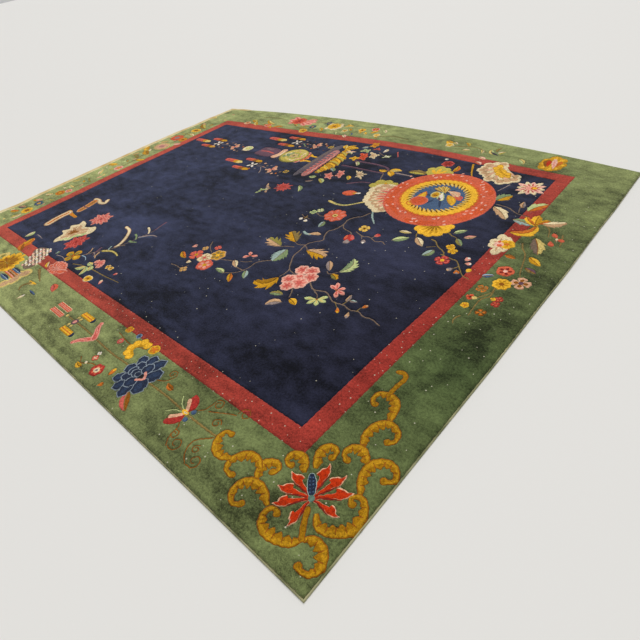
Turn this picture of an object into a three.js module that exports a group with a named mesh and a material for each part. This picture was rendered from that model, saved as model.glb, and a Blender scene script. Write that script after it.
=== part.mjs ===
import * as THREE from 'three';
import { mergeVertices } from 'three/addons/utils/BufferGeometryUtils.js';

// A thick hand-knotted wool rug, lying flat. Millimetres.
// +X runs along the rug, +Y across it to the long side that bows out, +Z up.
// The origin is on the floor under the middle of the rug.
// The rug is one cloth: a cotton foundation with wool knots, clipped to an even pile.

// Driving dimensions
const NEAR_SIDE = -1413.5;      // the straight long side
const FAR_CHORD = 1267.5;       // the other long side between its corners, at mid length
const FAR_SLOPE = -0.0147;      // that side closes in a little towards +X
const FAR_BOW = 145;            // and bows out by this much at mid length
const HALF_LENGTH = 1816;       // used for the bow only; the ends have their own tables
const FOUNDATION = 4;           // thickness of the cotton foundation, bare along every edge
const PILE_TOP = 14;            // mean height of the clipped pile over the floor
const SELVEDGE = 6;             // bare edge along the long sides and the +X end
const END_WEB = 24;             // bare cotton web at the -X end
const WEB_RETURN = 350;         // the web runs on round the far corner for this length

// The two short ends wander a little: x of the edge at each y.
const LEFT_END = [
  { y: -1413, x: -1828 },
  { y: -950, x: -1836 },
  { y: -800, x: -1816 },
  { y: -630, x: -1832 },
  { y: -200, x: -1830 },
  { y: 300, x: -1829 },
  { y: 650, x: -1821 },
  { y: 1000, x: -1797 },
  { y: 1420, x: -1773 },
];
const RIGHT_END = [
  { y: -1413, x: 1836 },
  { y: -500, x: 1833 },
  { y: 150, x: 1825 },
  { y: 800, x: 1811 },
  { y: 1420, x: 1794 },
];

// The clipped edge of the pile: inset from the bare foundation, and share of the full height.
const PILE_EDGE = [
  { inset: 0, rise: 0 },
  { inset: 1.5, rise: 0.5 },
  { inset: 5, rise: 0.86 },
  { inset: 15, rise: 1 },
];

// Soft unevenness of a rug that was rolled and laid out again: a few crossing swells.
const SWELLS = [
  { height: 0.7, length: 1450, heading: 10, start: 0.4 },
  { height: 0.5, length: 830, heading: 65, start: 1.7 },
  { height: 0.4, length: 520, heading: -35, start: 3.1 },
];

const CELLS_ALONG = 44;
const CELLS_ACROSS = 34;

const { clamp, degToRad, lerp, smoothstep } = THREE.MathUtils;

// Smooth reading of an end's table at a given y.
function endAt(table, y) {
  const next = clamp(table.findIndex((row) => row.y >= y), 1, table.length - 1);
  const low = table[next - 1];
  const high = table[next];
  return lerp(low.x, high.x, smoothstep(y, low.y, high.y));
}

function farSideAt(x) {
  return FAR_CHORD + FAR_SLOPE * x + FAR_BOW * (1 - (x / HALF_LENGTH) ** 2);
}

// The bare edge is wide where the web turns the far left corner, and a selvedge elsewhere.
function farBareAt(x) {
  const fromCorner = x - LEFT_END[0].x;
  return lerp(END_WEB, SELVEDGE, smoothstep(fromCorner, 0.8 * WEB_RETURN, WEB_RETURN));
}

function pileTopAt(x, y) {
  const swell = ({ height, length, heading, start }) => {
    const angle = degToRad(heading);
    const along = x * Math.cos(angle) + y * Math.sin(angle);
    return height * Math.sin((2 * Math.PI * along) / length + start);
  };
  return PILE_TOP + SWELLS.reduce((sum, row) => sum + swell(row), 0);
}

// Grid lines from one edge to the other: the outline, the pile's clipped edge, then even cells.
function gridLines(cells) {
  const edge = [{ bare: true, inset: 0, rise: 0 }, ...PILE_EDGE];
  const start = edge.map((row) => ({ ...row, side: 'start' }));
  const middle = Array.from({ length: cells - 1 }, (_, i) => ({ share: (i + 1) / cells, rise: 1 }));
  const end = edge.map((row) => ({ ...row, side: 'end' })).reverse();
  return [...start, ...middle, ...end];
}

// Position of a grid line between an edge at low and one at high.
function placeLine(line, low, high, lowBare, highBare) {
  const edgeWidth = PILE_EDGE.at(-1).inset;
  if (line.side === 'start') {
    return low + (line.bare ? 0 : lowBare + line.inset);
  }
  if (line.side === 'end') {
    return high - (line.bare ? 0 : highBare + line.inset);
  }
  return lerp(low + lowBare + edgeWidth, high - highBare - edgeWidth, line.share);
}

function rugGeometry() {
  const columns = gridLines(CELLS_ALONG);
  const rows = gridLines(CELLS_ACROSS);
  const points = [];
  const faces = [];
  const top = (i, j) => j * columns.length + i;

  rows.forEach((row) => {
    columns.forEach((column) => {
      const nominalY = placeLine(row, NEAR_SIDE, FAR_CHORD + 0.7 * FAR_BOW, SELVEDGE, SELVEDGE);
      const left = endAt(LEFT_END, nominalY);
      const right = endAt(RIGHT_END, nominalY);
      const x = placeLine(column, left, right, END_WEB, SELVEDGE);
      const y = placeLine(row, NEAR_SIDE, farSideAt(x), SELVEDGE, farBareAt(x));
      const rise = Math.min(column.rise, row.rise);
      points.push(x, y, lerp(FOUNDATION, pileTopAt(x, y), rise));
    });
  });

  for (let j = 0; j < rows.length - 1; j += 1) {
    for (let i = 0; i < columns.length - 1; i += 1) {
      faces.push(top(i, j), top(i + 1, j), top(i + 1, j + 1));
      faces.push(top(i, j), top(i + 1, j + 1), top(i, j + 1));
    }
  }

  // The outline, anticlockwise from above, and its copy on the floor.
  const lastColumn = columns.length - 1;
  const lastRow = rows.length - 1;
  const rim = [
    ...columns.slice(0, -1).map((_, i) => top(i, 0)),
    ...rows.slice(0, -1).map((_, j) => top(lastColumn, j)),
    ...columns.slice(0, -1).map((_, i) => top(lastColumn - i, lastRow)),
    ...rows.slice(0, -1).map((_, j) => top(0, lastRow - j)),
  ];
  const base = points.length / 3;
  const outline = rim.map((index) => new THREE.Vector2(points[3 * index], points[3 * index + 1]));
  outline.forEach((point) => points.push(point.x, point.y, 0));
  rim.forEach((index, k) => {
    const next = (k + 1) % rim.length;
    faces.push(base + k, base + next, rim[next]);
    faces.push(base + k, rim[next], index);
  });
  THREE.ShapeUtils.triangulateShape(outline, []).forEach(([a, b, c]) => {
    faces.push(base + a, base + c, base + b);
  });

  const geometry = new THREE.BufferGeometry();
  geometry.setAttribute('position', new THREE.Float32BufferAttribute(points, 3));
  geometry.setIndex(faces);
  return mergeVertices(geometry);
}

const wool = new THREE.MeshStandardMaterial({ color: 0x2f3146, roughness: 0.95, metalness: 0 });

const rug = new THREE.Mesh(rugGeometry(), wool);
rug.name = 'rug';

const group = new THREE.Group();
group.add(rug);

export default group;
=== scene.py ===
import math
import bpy
import numpy as np
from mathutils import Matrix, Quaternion, Vector
from mathutils.geometry import delaunay_2d_cdt


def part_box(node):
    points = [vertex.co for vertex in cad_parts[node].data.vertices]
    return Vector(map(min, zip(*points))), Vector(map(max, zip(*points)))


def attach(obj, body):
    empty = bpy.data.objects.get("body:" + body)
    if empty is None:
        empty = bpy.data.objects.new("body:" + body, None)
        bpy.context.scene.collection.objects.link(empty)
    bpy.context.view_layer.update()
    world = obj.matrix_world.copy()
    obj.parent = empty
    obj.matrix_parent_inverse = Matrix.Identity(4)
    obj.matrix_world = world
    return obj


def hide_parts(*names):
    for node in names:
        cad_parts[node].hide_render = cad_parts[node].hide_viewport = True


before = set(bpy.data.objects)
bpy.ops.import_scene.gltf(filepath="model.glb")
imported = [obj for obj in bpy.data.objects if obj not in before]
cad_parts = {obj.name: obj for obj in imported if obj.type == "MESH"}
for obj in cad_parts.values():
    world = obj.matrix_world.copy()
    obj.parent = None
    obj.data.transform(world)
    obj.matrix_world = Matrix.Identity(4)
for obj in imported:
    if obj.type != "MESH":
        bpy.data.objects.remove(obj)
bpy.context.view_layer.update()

# ---------------------------------------------------------------------------------------
# Cotton foundation: undyed cotton warp and weft, one cloth under all of the pile.
# It shows as a pale web with weft ribs at the left end and round the far left corner,
# and as an overcast cord, the selvedge, along the other edges. Metres, +X along the rug.
# ---------------------------------------------------------------------------------------
NEAR_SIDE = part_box("rug")[0][1]          # the straight long side
FAR_CHORD = 1.2675                       # the bowed long side, between its corners
FAR_SLOPE = -0.0147
FAR_BOW = 0.145
HALF_LENGTH = 1.816
FOUNDATION = 0.004                       # thickness of the cotton
SELVEDGE = 0.006                         # width of the overcast cord
END_WEB = 0.024                          # width of the bare web
WEB_RETURN = 0.35                        # the web turns the far left corner
WEB_CURL = 0.0105                        # rise of the web's free edge
RIB = 0.003                              # pitch of the weft ribs in the web
WEB_LEVEL, RIB_RISE = 0.0034, 0.0004     # mean height of the web's top, and of a rib over it
WEB_LIP, LIP_LEVEL = 0.0005, 0.0024      # width and height of the web's turned-down free edge
CORD_FOOT, CORD_RISE = 0.0016, 0.0034    # height of the cord's sides, and its crown over them
CORD_UNDER = 0.01                        # a far edge narrower than this is cord, a wider one web
AWAY = 9                                 # farther than any edge
LOOM_LENGTH, LOOM_WIDTH = 3.66, 2.78     # nominal size that the weave's grid is shared out on

# x of each short end at each y
LEFT_END_Y, LEFT_END_X = zip(
    (-1.413, -1.828), (-0.950, -1.836), (-0.800, -1.816), (-0.630, -1.832), (-0.200, -1.830),
    (0.300, -1.829), (0.650, -1.821), (1.000, -1.797), (1.420, -1.773))
RIGHT_END_Y, RIGHT_END_X = zip(
    (-1.413, 1.836), (-0.500, 1.833), (0.150, 1.825), (0.800, 1.811), (1.420, 1.794))


def smoothstep(x, low, high):
    t = np.clip((x - low) / (high - low), 0, 1)
    return t * t * (3 - 2 * t)


def eased(at, places, values):
    """A table read smoothly: level at each row, eased between two rows."""
    at = np.asarray(at, float)
    k = np.clip(np.searchsorted(places, at) - 1, 0, len(places) - 2)
    low, high = np.take(places, k), np.take(places, k + 1)
    share = smoothstep(at, low, high)
    return np.take(values, k) * (1 - share) + np.take(values, k + 1) * share


def left_end(y):
    return eased(y, LEFT_END_Y, LEFT_END_X)


def right_end(y):
    return eased(y, RIGHT_END_Y, RIGHT_END_X)


def far_side(x):
    return FAR_CHORD + FAR_SLOPE * x + FAR_BOW * (1 - (x / HALF_LENGTH) ** 2)


def far_bare(x):
    """Width of the bare edge on the far side: the web's at the corner, then the selvedge."""
    from_corner = x - LEFT_END_X[0]
    return END_WEB + (SELVEDGE - END_WEB) * smoothstep(from_corner, 0.8 * WEB_RETURN, WEB_RETURN)


def new_piece(name, verts, faces, materials, slots=None, flat=None):
    """A mesh object; slots gives each face its material, flat marks the faces left unsmoothed."""
    mesh = bpy.data.meshes.new(name)
    mesh.from_pydata(verts, [], faces)
    for material in materials:
        mesh.materials.append(material)
    if slots is not None:
        mesh.polygons.foreach_set("material_index", slots)
    smooth = np.ones(len(faces), bool) if flat is None else ~np.asarray(flat)
    mesh.polygons.foreach_set("use_smooth", smooth)
    mesh.update()
    piece = bpy.data.objects.new(name, mesh)
    bpy.context.scene.collection.objects.link(piece)
    return piece


def linear(*rgb):
    """A colour named in 0-255 as the eye sees it, as the shader wants it."""
    return tuple(((c / 255 + 0.055) / 1.055) ** 2.4 if c > 10 else c / 255 / 12.92 for c in rgb) + (1,)


def put(tree, kind, inputs=(), **settings):
    """A node with its settings, its inputs given as values or as other nodes' outputs."""
    node = tree.nodes.new(kind)
    for key, value in settings.items():
        setattr(node, key, value)
    for key, value in dict(inputs).items():
        if isinstance(value, bpy.types.NodeSocket):
            tree.links.new(value, node.inputs[key])
        else:
            node.inputs[key].default_value = value
    return node


def matt_yarn(name, patches, tones, yarn, strength, roughness):
    """A dull yarn: patches between two tones, each with its place in the noise, and a yarn relief."""
    material = bpy.data.materials.new(name)
    material.use_nodes = True
    tree = material.node_tree
    surface = tree.nodes["Principled BSDF"]
    place = put(tree, "ShaderNodeTexCoord").outputs["Object"]
    scale, detail = patches
    dirt = put(tree, "ShaderNodeTexNoise", {"Vector": place, "Scale": scale, "Detail": detail})
    tone = put(tree, "ShaderNodeValToRGB", {"Fac": dirt.outputs["Fac"]})
    for step, (at, colour) in zip(tone.color_ramp.elements, tones):
        step.position = at
        step.color = linear(*colour)
    kind, looks = yarn
    relief = put(tree, kind, {"Vector": place, **looks})
    bump = put(tree, "ShaderNodeBump",
               {"Height": relief.outputs["Fac"], "Strength": strength, "Distance": 0.001})
    tree.links.new(tone.outputs["Color"], surface.inputs["Base Color"])
    tree.links.new(bump.outputs["Normal"], surface.inputs["Normal"])
    surface.inputs["Roughness"].default_value = roughness
    surface.inputs["Specular IOR Level"].default_value = 0.2
    return material


def cotton():
    """Undyed yarn: cream, greyed by the floor."""
    tones = ((0.3, (218, 186, 120)), (0.62, (246, 230, 182)))
    fibres = ("ShaderNodeTexNoise", {"Scale": 420, "Detail": 2})
    return matt_yarn("undyed cotton", (9, 5), tones, fibres, 0.5, 0.92)


def overcast():
    """The selvedge's wrapping yarn: greyish green wool, its turns side by side."""
    tones = ((0.35, (118, 122, 84)), (0.65, (178, 174, 134)))
    turns = ("ShaderNodeTexWave", {"Scale": 90, "Distortion": 1.5, "Detail": 1})
    return matt_yarn("overcast yarn", (14, 4), tones, turns, 0.6, 0.9)


def from_cords(x, y):
    """How far a place is from the nearest edge that has the overcast cord."""
    from_far = np.where(far_bare(x) < CORD_UNDER, far_side(x) - y, AWAY)
    return np.minimum(np.minimum(y - NEAR_SIDE, right_end(y) - x), from_far)


def weave_foundation():
    """A closed slab on a grid whose lines crowd at the edges, where ribs and cords are."""
    ribs = np.arange(0, END_WEB + 2 * RIB, RIB / 2)
    cord = np.linspace(0, SELVEDGE, 5)
    along = np.concatenate([ribs, np.linspace(0.06, 3.60, 60), LOOM_LENGTH - cord[::-1]]) / LOOM_LENGTH
    across = np.concatenate([cord, np.linspace(0.04, 2.74, 90), LOOM_WIDTH - ribs[::-1]]) / LOOM_WIDTH
    U, V = np.meshgrid(along, across)
    y_guess = NEAR_SIDE + V * (FAR_CHORD + 0.7 * FAR_BOW - NEAR_SIDE)
    X = left_end(y_guess) + U * (right_end(y_guess) - left_end(y_guess))
    Y = NEAR_SIDE + V * (far_side(X) - NEAR_SIDE)
    edge = from_cords(X, Y)
    web = np.minimum(X - left_end(Y), np.where(far_bare(X) < CORD_UNDER, AWAY, far_side(X) - Y))
    crown = np.sqrt(np.clip(1 - (2 * edge / SELVEDGE - 1) ** 2, 0, 1))
    Z = WEB_LEVEL + RIB_RISE * np.cos(2 * np.pi * web / RIB) * (web < END_WEB + RIB)
    Z = np.where(web < WEB_LIP, LIP_LEVEL, Z) + WEB_CURL * (1 - smoothstep(web, 0, 0.8 * END_WEB))
    Z = np.where(edge <= SELVEDGE, CORD_FOOT + CORD_RISE * crown, Z)
    rows, columns = X.shape
    top = np.stack([X, Y, Z], -1).reshape(-1, 3)
    below = np.stack([X, Y, np.clip(Z - FOUNDATION, 0, 1) * (web < END_WEB + RIB)], -1).reshape(-1, 3)
    verts = np.concatenate([top, below])
    index = np.arange(rows * columns).reshape(rows, columns)
    a, b, c, d = index[:-1, :-1], index[:-1, 1:], index[1:, 1:], index[1:, :-1]
    upper = np.stack([a, b, c, d], -1).reshape(-1, 4)
    rim = np.concatenate([index[0, :-1], index[:-1, -1], index[-1, :0:-1], index[:0:-1, 0]])
    after = np.roll(rim, -1)
    under = len(top)
    walls = np.stack([rim + under, after + under, after, rim], -1)
    faces = np.concatenate([upper, upper[:, ::-1] + under, walls])
    middle = verts[faces].mean(1)
    slots = (from_cords(middle[:, 0], middle[:, 1]) < SELVEDGE).astype(int)
    return new_piece("foundation", verts.tolist(), faces.tolist(), [cotton(), overcast()], slots)


foundation = weave_foundation()
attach(foundation, "root")
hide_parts("rug")

# ---------------------------------------------------------------------------------------
# Wool pile: knots of dyed wool tied on the warp row by row and clipped to one height.
# Each dyed yarn is its own material; all share the pile's nap, dye bands and lint, its painted shade where
# the pile leans and its painted sheen toward the far side.
# The ground is knotted round the flowers, so every flower is cut out of it exactly.
# ---------------------------------------------------------------------------------------
PILE_TOP = 0.014                         # mean height over the floor
CLIPPED_EDGE = ((0, 0.0015, 0.005, 0.015, 0.045), (0, 0.5, 0.86, 1, 1))  # inset, share of the height
WORN_END = ((0, 0.002, 0.022, 0.065), (0, 0.2, 0.36, 1))     # the same along the left end, trodden low
SWELLS = ((0.7, 1.45, 10, 0.4), (0.5, 0.83, 65, 1.7), (0.4, 0.52, -35, 3.1))  # mm, m, degrees, start
TUFTS = ((0.22, 0.16, 25, 0.9), (0.20, 0.115, 100, 2.2), (0.18, 0.085, -50, 4.0), (0.15, 0.062, 70, 5.1),
         (0.12, 0.047, 150, 0.3), (0.10, 0.038, 35, 2.9))
LATTICE = 0.014                          # spacing of the points that carry the unevenness
ROW_STEP = 0.866                         # how far apart the lattice's rows are, as a share of it
SAME_PLACE = 1e-6                        # points nearer than this are one
JOIN_GROOVE = 0.0005                     # depth of the clipped groove along every join
PILE_BACK, LEAST_TOP = 0.0038, 0.0041    # height of the pile's back, and of its top where worn away
SHEET_SHOWN, SHEET_HIDDEN = 0.95, 0.04   # how much of the flat colour sheet each kind of face takes
STITCH = 0.008                           # longest straight run of an outline
STRAY = 0.0009                           # how far the knots stray from the drawn line
LEAST_FADE_AND_SHEEN = (1.75, -0.5, 0)              # the place that faded least and has the least painted sheen, and how far off both are full
FADE_AND_SHEEN_REACH = 2.6
PAINTED_NAP_SHADE = (                              # painted shade where the pile leans, painted highlight where depth < 0: x, y, half length, half width in metres, heading in degrees, depth of the painted shade
    (1.73, -0.30, 0.34, 0.11, 75, 0.5),  # width in metres, heading in degrees, depth of the shade
    (1.72, 0.05, 0.26, 0.10, 80, 0.4), (1.62, -0.72, 0.26, 0.09, 60, 0.3), (1.48, -1.32, 0.30, 0.10, 5, 0.4),
    (1.05, -1.36, 0.22, 0.07, 0, 0.25), (0.42, -1.19, 0.12, 0.09, 0, 0.4),
    (0.75, -1.20, 0.16, 0.10, 0, 0.25), (0.28, -0.87, 0.34, 0.16, 5, 0.42),
    (1.15, -0.85, 0.40, 0.20, 10, 0.3), (1.60, -0.66, 0.17, 0.05, 80, -0.35),
    (1.30, -1.20, 0.30, 0.06, 5, -0.2), (1.64, 0.75, 0.25, 0.08, 85, -0.2),
    (0.45, -1.30, 1.30, 0.16, 0, 0.14), (0.35, -1.06, 1.5, 0.07, 0, 0.5), (1.68, 0.75, 0.7, 0.2, 90, 0.13),
    (0.30, 0.72, 0.36, 0.26, 60, 0.45), (-0.05, 0.45, 0.30, 0.12, 10, 0.4),
    (-0.55, 0.90, 0.35, 0.10, 0, 0.35), (-1.30, -0.40, 0.16, 0.50, 0, 0.3),
    (1.03, -0.05, 0.50, 0.34, 0, -0.6), (-0.45, -0.50, 0.50, 0.18, 0, -0.45),
    (1.00, -0.68, 0.50, 0.16, 0, -0.3), (0.25, -0.25, 0.50, 0.24, 0, -0.3),
    (-0.50, 0.25, 0.18, 0.12, 0, 0.3), (-1.00, 0.10, 0.45, 0.35, 0, -0.15))
LITTERED = (                             # patches with lint trodden in: the same, then how much more
    (0.05, -1.04, 0.75, 0.13, 0, 1.3), (0.75, -1.02, 0.45, 0.12, 0, 0.7), (1.50, -0.60, 0.12, 0.40, 0, 0.6),
    (1.72, 0.30, 0.10, 0.60, 0, 0.6), (0.95, -0.10, 0.50, 0.22, 20, 0.25),
    (0.40, -1.30, 0.90, 0.10, 0, 0.35))
ASTRAY = 0.17                            # how far a patch's edge wanders, metres
WOOLS = {                                # dyed yarns, as the eye sees them in plain light
    "navy": (29, 29, 43), "green": (69, 83, 48), "line": (149, 47, 40), "red": (172, 52, 44),
    "coral": (210, 97, 66), "scarlet": (190, 52, 14), "rose": (200, 92, 82), "pink": (226, 152, 134),
    "shell": (234, 180, 160), "peach": (220, 168, 134), "citron": (188, 172, 78), "dark red": (128, 38, 30),
    "orange": (204, 112, 36), "rust": (142, 84, 20), "bark": (134, 112, 62), "brown": (96, 62, 16),
    "gold": (200, 146, 26), "old gold": (156, 110, 14), "honey": (180, 132, 24), "yellow": (236, 180, 48),
    "straw": (214, 190, 112), "olive": (138, 128, 60), "cream": (226, 206, 164), "ivory": (232, 222, 206),
    "tan": (196, 156, 116), "mauve": (104, 74, 88), "ash": (146, 130, 126), "twig": (122, 102, 86),
    "sage": (128, 146, 102), "lime": (188, 198, 134), "teal": (152, 172, 164), "sky": (148, 170, 186),
    "steel": (72, 94, 124), "ink": (40, 49, 70), "dusk": (48, 62, 88), "pewter": (136, 148, 158),
    "black": (34, 32, 34), "moss": (96, 124, 110), "blush": (212, 122, 106), "vermilion": (206, 86, 46),
    "slate": (100, 92, 98), "dusty rose": (184, 122, 116)}
SUNK = {"brown": -0.0012, "black": -0.0012, "rust": -0.0005}  # iron-dyed wool wears lower


def wave_sum(z, waves):
    total = np.zeros(z.shape)
    for height, length, heading, start in waves:
        along = (z * np.exp(-1j * np.radians(heading))).real
        total += height / 1000 * np.sin(2 * np.pi * along / length + start)
    return total


def pile_height(z):
    """Top of the pile at each point x + iy of the plan."""
    x, y = z.real, z.imag
    inset = np.minimum(right_end(y) - x - SELVEDGE,
                       np.minimum(y - NEAR_SIDE - SELVEDGE, far_side(x) - y - far_bare(x)))
    rise = np.minimum(np.interp(inset, *CLIPPED_EDGE), np.interp(x - left_end(y) - END_WEB, *WORN_END))
    full = PILE_TOP + wave_sum(z, SWELLS) + wave_sum(z, TUFTS)
    return FOUNDATION + (full - FOUNDATION) * rise


def hand_tied(outline):
    """An outline walked in short stitches, a little off its drawn line as hand work is."""
    ends = np.roll(outline, -1)
    steps = np.maximum(1, np.ceil(np.abs(ends - outline) / STITCH).astype(int))
    walked = np.concatenate([a + (b - a) * np.arange(n) / n for a, b, n in zip(outline, ends, steps)])
    sway = STRAY * np.sin(walked.imag * 210 + 3 * np.sin(walked.real * 90))
    drift = STRAY * np.sin(walked.real * 230 + 3 * np.sin(walked.imag * 70))
    moved = walked + sway + 1j * drift
    area = np.sum((np.conj(moved) * np.roll(moved, -1)).imag)
    return moved if area > 0 else moved[::-1]


def inside(z, outline):
    """Which of the points z lie within the outline."""
    hit = np.zeros(len(z), bool)
    near = np.flatnonzero((z.real > outline.real.min()) & (z.real < outline.real.max())
                          & (z.imag > outline.imag.min()) & (z.imag < outline.imag.max()))
    near = near[np.argsort(z.imag[near])]
    x, y = z.real[near], z.imag[near]
    found = np.zeros(len(near), bool)
    ends = np.roll(outline, -1)
    first = np.searchsorted(y, np.minimum(outline.imag, ends.imag))
    last = np.searchsorted(y, np.maximum(outline.imag, ends.imag))
    for k in np.flatnonzero(last > first):
        a, b, step = first[k], last[k], ends[k] - outline[k]
        found[a:b] ^= x[a:b] < outline[k].real + (y[a:b] - outline[k].imag) / step.imag * step.real
    hit[near] = found
    return hit


def wool_effect():
    """Shared nap of the pile: dye bands, painted shade and highlight where the pile leans, single knots, sun
    fade with painted sheen, and lint.
    """
    tree = bpy.data.node_groups.new("wool pile", "ShaderNodeTree")
    for name, kind in (("Wool", "Color"), ("Faded and lit", "Color"), ("Nap", "Float"), ("Lint", "Float")):
        tree.interface.new_socket(name, in_out="INPUT", socket_type=f"NodeSocket{kind}")
    for name, kind in (("Colour", "Color"), ("Height", "Float")):
        tree.interface.new_socket(name, in_out="OUTPUT", socket_type=f"NodeSocket{kind}")
    given = put(tree, "NodeGroupInput").outputs
    place = put(tree, "ShaderNodeTexCoord").outputs["Object"]
    flat = put(tree, "ShaderNodeVectorMath", {0: place, 1: (1, 1, 0)}, operation="MULTIPLY").outputs[0]

    def noise(scale, detail, stretch=(1, 1, 1), turn=0.0, distortion=0.0, output="Fac"):
        spread = put(tree, "ShaderNodeMapping", {"Vector": flat, "Scale": stretch, "Rotation": (0, 0, turn)})
        look = {"Vector": spread.outputs[0], "Scale": scale, "Detail": detail, "Distortion": distortion}
        return put(tree, "ShaderNodeTexNoise", look).outputs[output]

    def calc(operation, a, b=0.0, c=0.0):
        return put(tree, "ShaderNodeMath", {0: a, 1: b, 2: c}, operation=operation).outputs[0]

    def vary(fac, amount, onto):
        return calc("MULTIPLY_ADD", calc("SUBTRACT", fac, 0.5), amount, onto)

    wander = put(tree, "ShaderNodeVectorMath",
                 {0: noise(5, 4, output="Color"), 2: flat, 1: (2 * ASTRAY, 2 * ASTRAY, 0)},
                 operation="MULTIPLY_ADD").outputs[0]

    def patches(places, share):
        """Sum of soft patches, each with its own strength, times the share."""
        total = 0.0
        for x, y, long, wide, heading, strength in places:
            patch = {"Vector": wander, "Location": (x + ASTRAY, y + ASTRAY, 0),
                     "Rotation": (0, 0, math.radians(heading)), "Scale": (long, wide, 1)}
            local = put(tree, "ShaderNodeMapping", patch, vector_type="TEXTURE")
            away = put(tree, "ShaderNodeVectorMath", {0: local.outputs[0]}, operation="LENGTH")
            fade = {"Value": away.outputs["Value"], "From Min": 0.25, "From Max": 1, "To Min": 1,
                    "To Max": 0}
            soft = put(tree, "ShaderNodeMapRange", fade, interpolation_type="SMOOTHSTEP")
            total = calc("MULTIPLY_ADD", soft.outputs[0], strength * share, total)
        return total

    # Painted shade and highlight where the pile leans: the listed patches, and in part the broad blotches
    # below, which are also dye abrash; clumps, grain and knots are the yarn's own random tone.
    shade = patches(PAINTED_NAP_SHADE, -1)
    clumps = noise(15, 5, (1, 1.5, 1), math.radians(20))
    grain = noise(105, 4)
    knots = noise(320, 2)
    shade = vary(noise(2.4, 4, (1, 1.8, 1), math.radians(35), 1.2), 1.7, shade)
    shade = vary(clumps, 1.5, shade)
    shade = vary(noise(6, 3, (0.35, 5, 1)), 0.5, shade)
    shade = calc("MULTIPLY_ADD", shade, given["Nap"], 1.0)
    shade = vary(grain, 1.6, shade)
    shade = calc("MAXIMUM", vary(knots, 1.8, shade), 0.25)
    # The colour goes from the yarn's own to its far colour with distance from the near right corner: partly
    # real sun fade, partly painted sheen of the light from beyond the far side.
    far = put(tree, "ShaderNodeVectorMath", {0: flat, 1: LEAST_FADE_AND_SHEEN}, operation="DISTANCE").outputs["Value"]
    fade_and_sheen = calc("MINIMUM", calc("DIVIDE", far, FADE_AND_SHEEN_REACH), 1.0)
    aged_and_lit = put(tree, "ShaderNodeMix", {"Factor": fade_and_sheen, "A": given["Wool"], "B": given["Faded and lit"]},
               data_type="RGBA").outputs["Result"]
    toned = put(tree, "ShaderNodeVectorMath", {0: aged_and_lit, "Scale": shade}, operation="SCALE").outputs[0]
    specks = put(tree, "ShaderNodeTexVoronoi", {"Vector": flat, "Scale": 23.0, "Randomness": 1.0},
                 voronoi_dimensions="2D")
    chance = put(tree, "ShaderNodeSeparateColor", {"Color": specks.outputs["Color"]})
    ragged = vary(noise(260, 2), 0.05, specks.outputs["Distance"])
    near = calc("LESS_THAN", ragged, calc("MULTIPLY_ADD", chance.outputs["Green"], 0.045, 0.022))
    dusty = calc("ADD", calc("SUBTRACT", 1.15, fade_and_sheen), patches(LITTERED, 1))
    kept = calc("LESS_THAN", chance.outputs["Red"], calc("MULTIPLY", given["Lint"], dusty))
    lint = calc("MULTIPLY", calc("MULTIPLY", near, kept), 0.72)
    colour = put(tree, "ShaderNodeMix", {"Factor": lint, "A": toned, "B": linear(206, 200, 178)},
                 data_type="RGBA")
    height = calc("MULTIPLY_ADD", noise(520, 1), 0.5, knots)
    height = calc("MULTIPLY_ADD", grain, 1.6, height)
    height = calc("MULTIPLY_ADD", clumps, 1.2, height)
    put(tree, "NodeGroupOutput", {"Colour": colour.outputs["Result"], "Height": height})
    return tree


pile_nap = wool_effect()
dyed = {}


def wool(name, nap=0.3, lint=0.0, faded_and_lit=None):
    """The material of one dyed yarn as clipped pile; faded_and_lit is its colour toward the far side, where
    sun fade and painted sheen both lighten it.
    """
    if name not in dyed:
        material = bpy.data.materials.new(f"{name} wool")
        material.use_nodes = True
        tree = material.node_tree
        surface = tree.nodes["Principled BSDF"]
        pile = put(tree, "ShaderNodeGroup", node_tree=pile_nap)
        pile.inputs["Wool"].default_value = linear(*WOOLS[name])
        pile.inputs["Faded and lit"].default_value = linear(*(faded_and_lit or WOOLS[name]))
        pile.inputs["Nap"].default_value = nap
        pile.inputs["Lint"].default_value = lint
        bump = put(tree, "ShaderNodeBump",
                   {"Height": pile.outputs["Height"], "Strength": 0.55, "Distance": 0.0025})
        tree.links.new(pile.outputs["Colour"], surface.inputs["Base Color"])
        tree.links.new(bump.outputs["Normal"], surface.inputs["Normal"])
        surface.inputs["Roughness"].default_value = 0.95
        surface.inputs["Specular IOR Level"].default_value = 0.05
        surface.inputs["Sheen Weight"].default_value = 0.07
        surface.inputs["Sheen Roughness"].default_value = 0.5
        dyed[name] = material
    return dyed[name]


knotted = []                             # outlines already filled, which later pile leaves free


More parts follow.
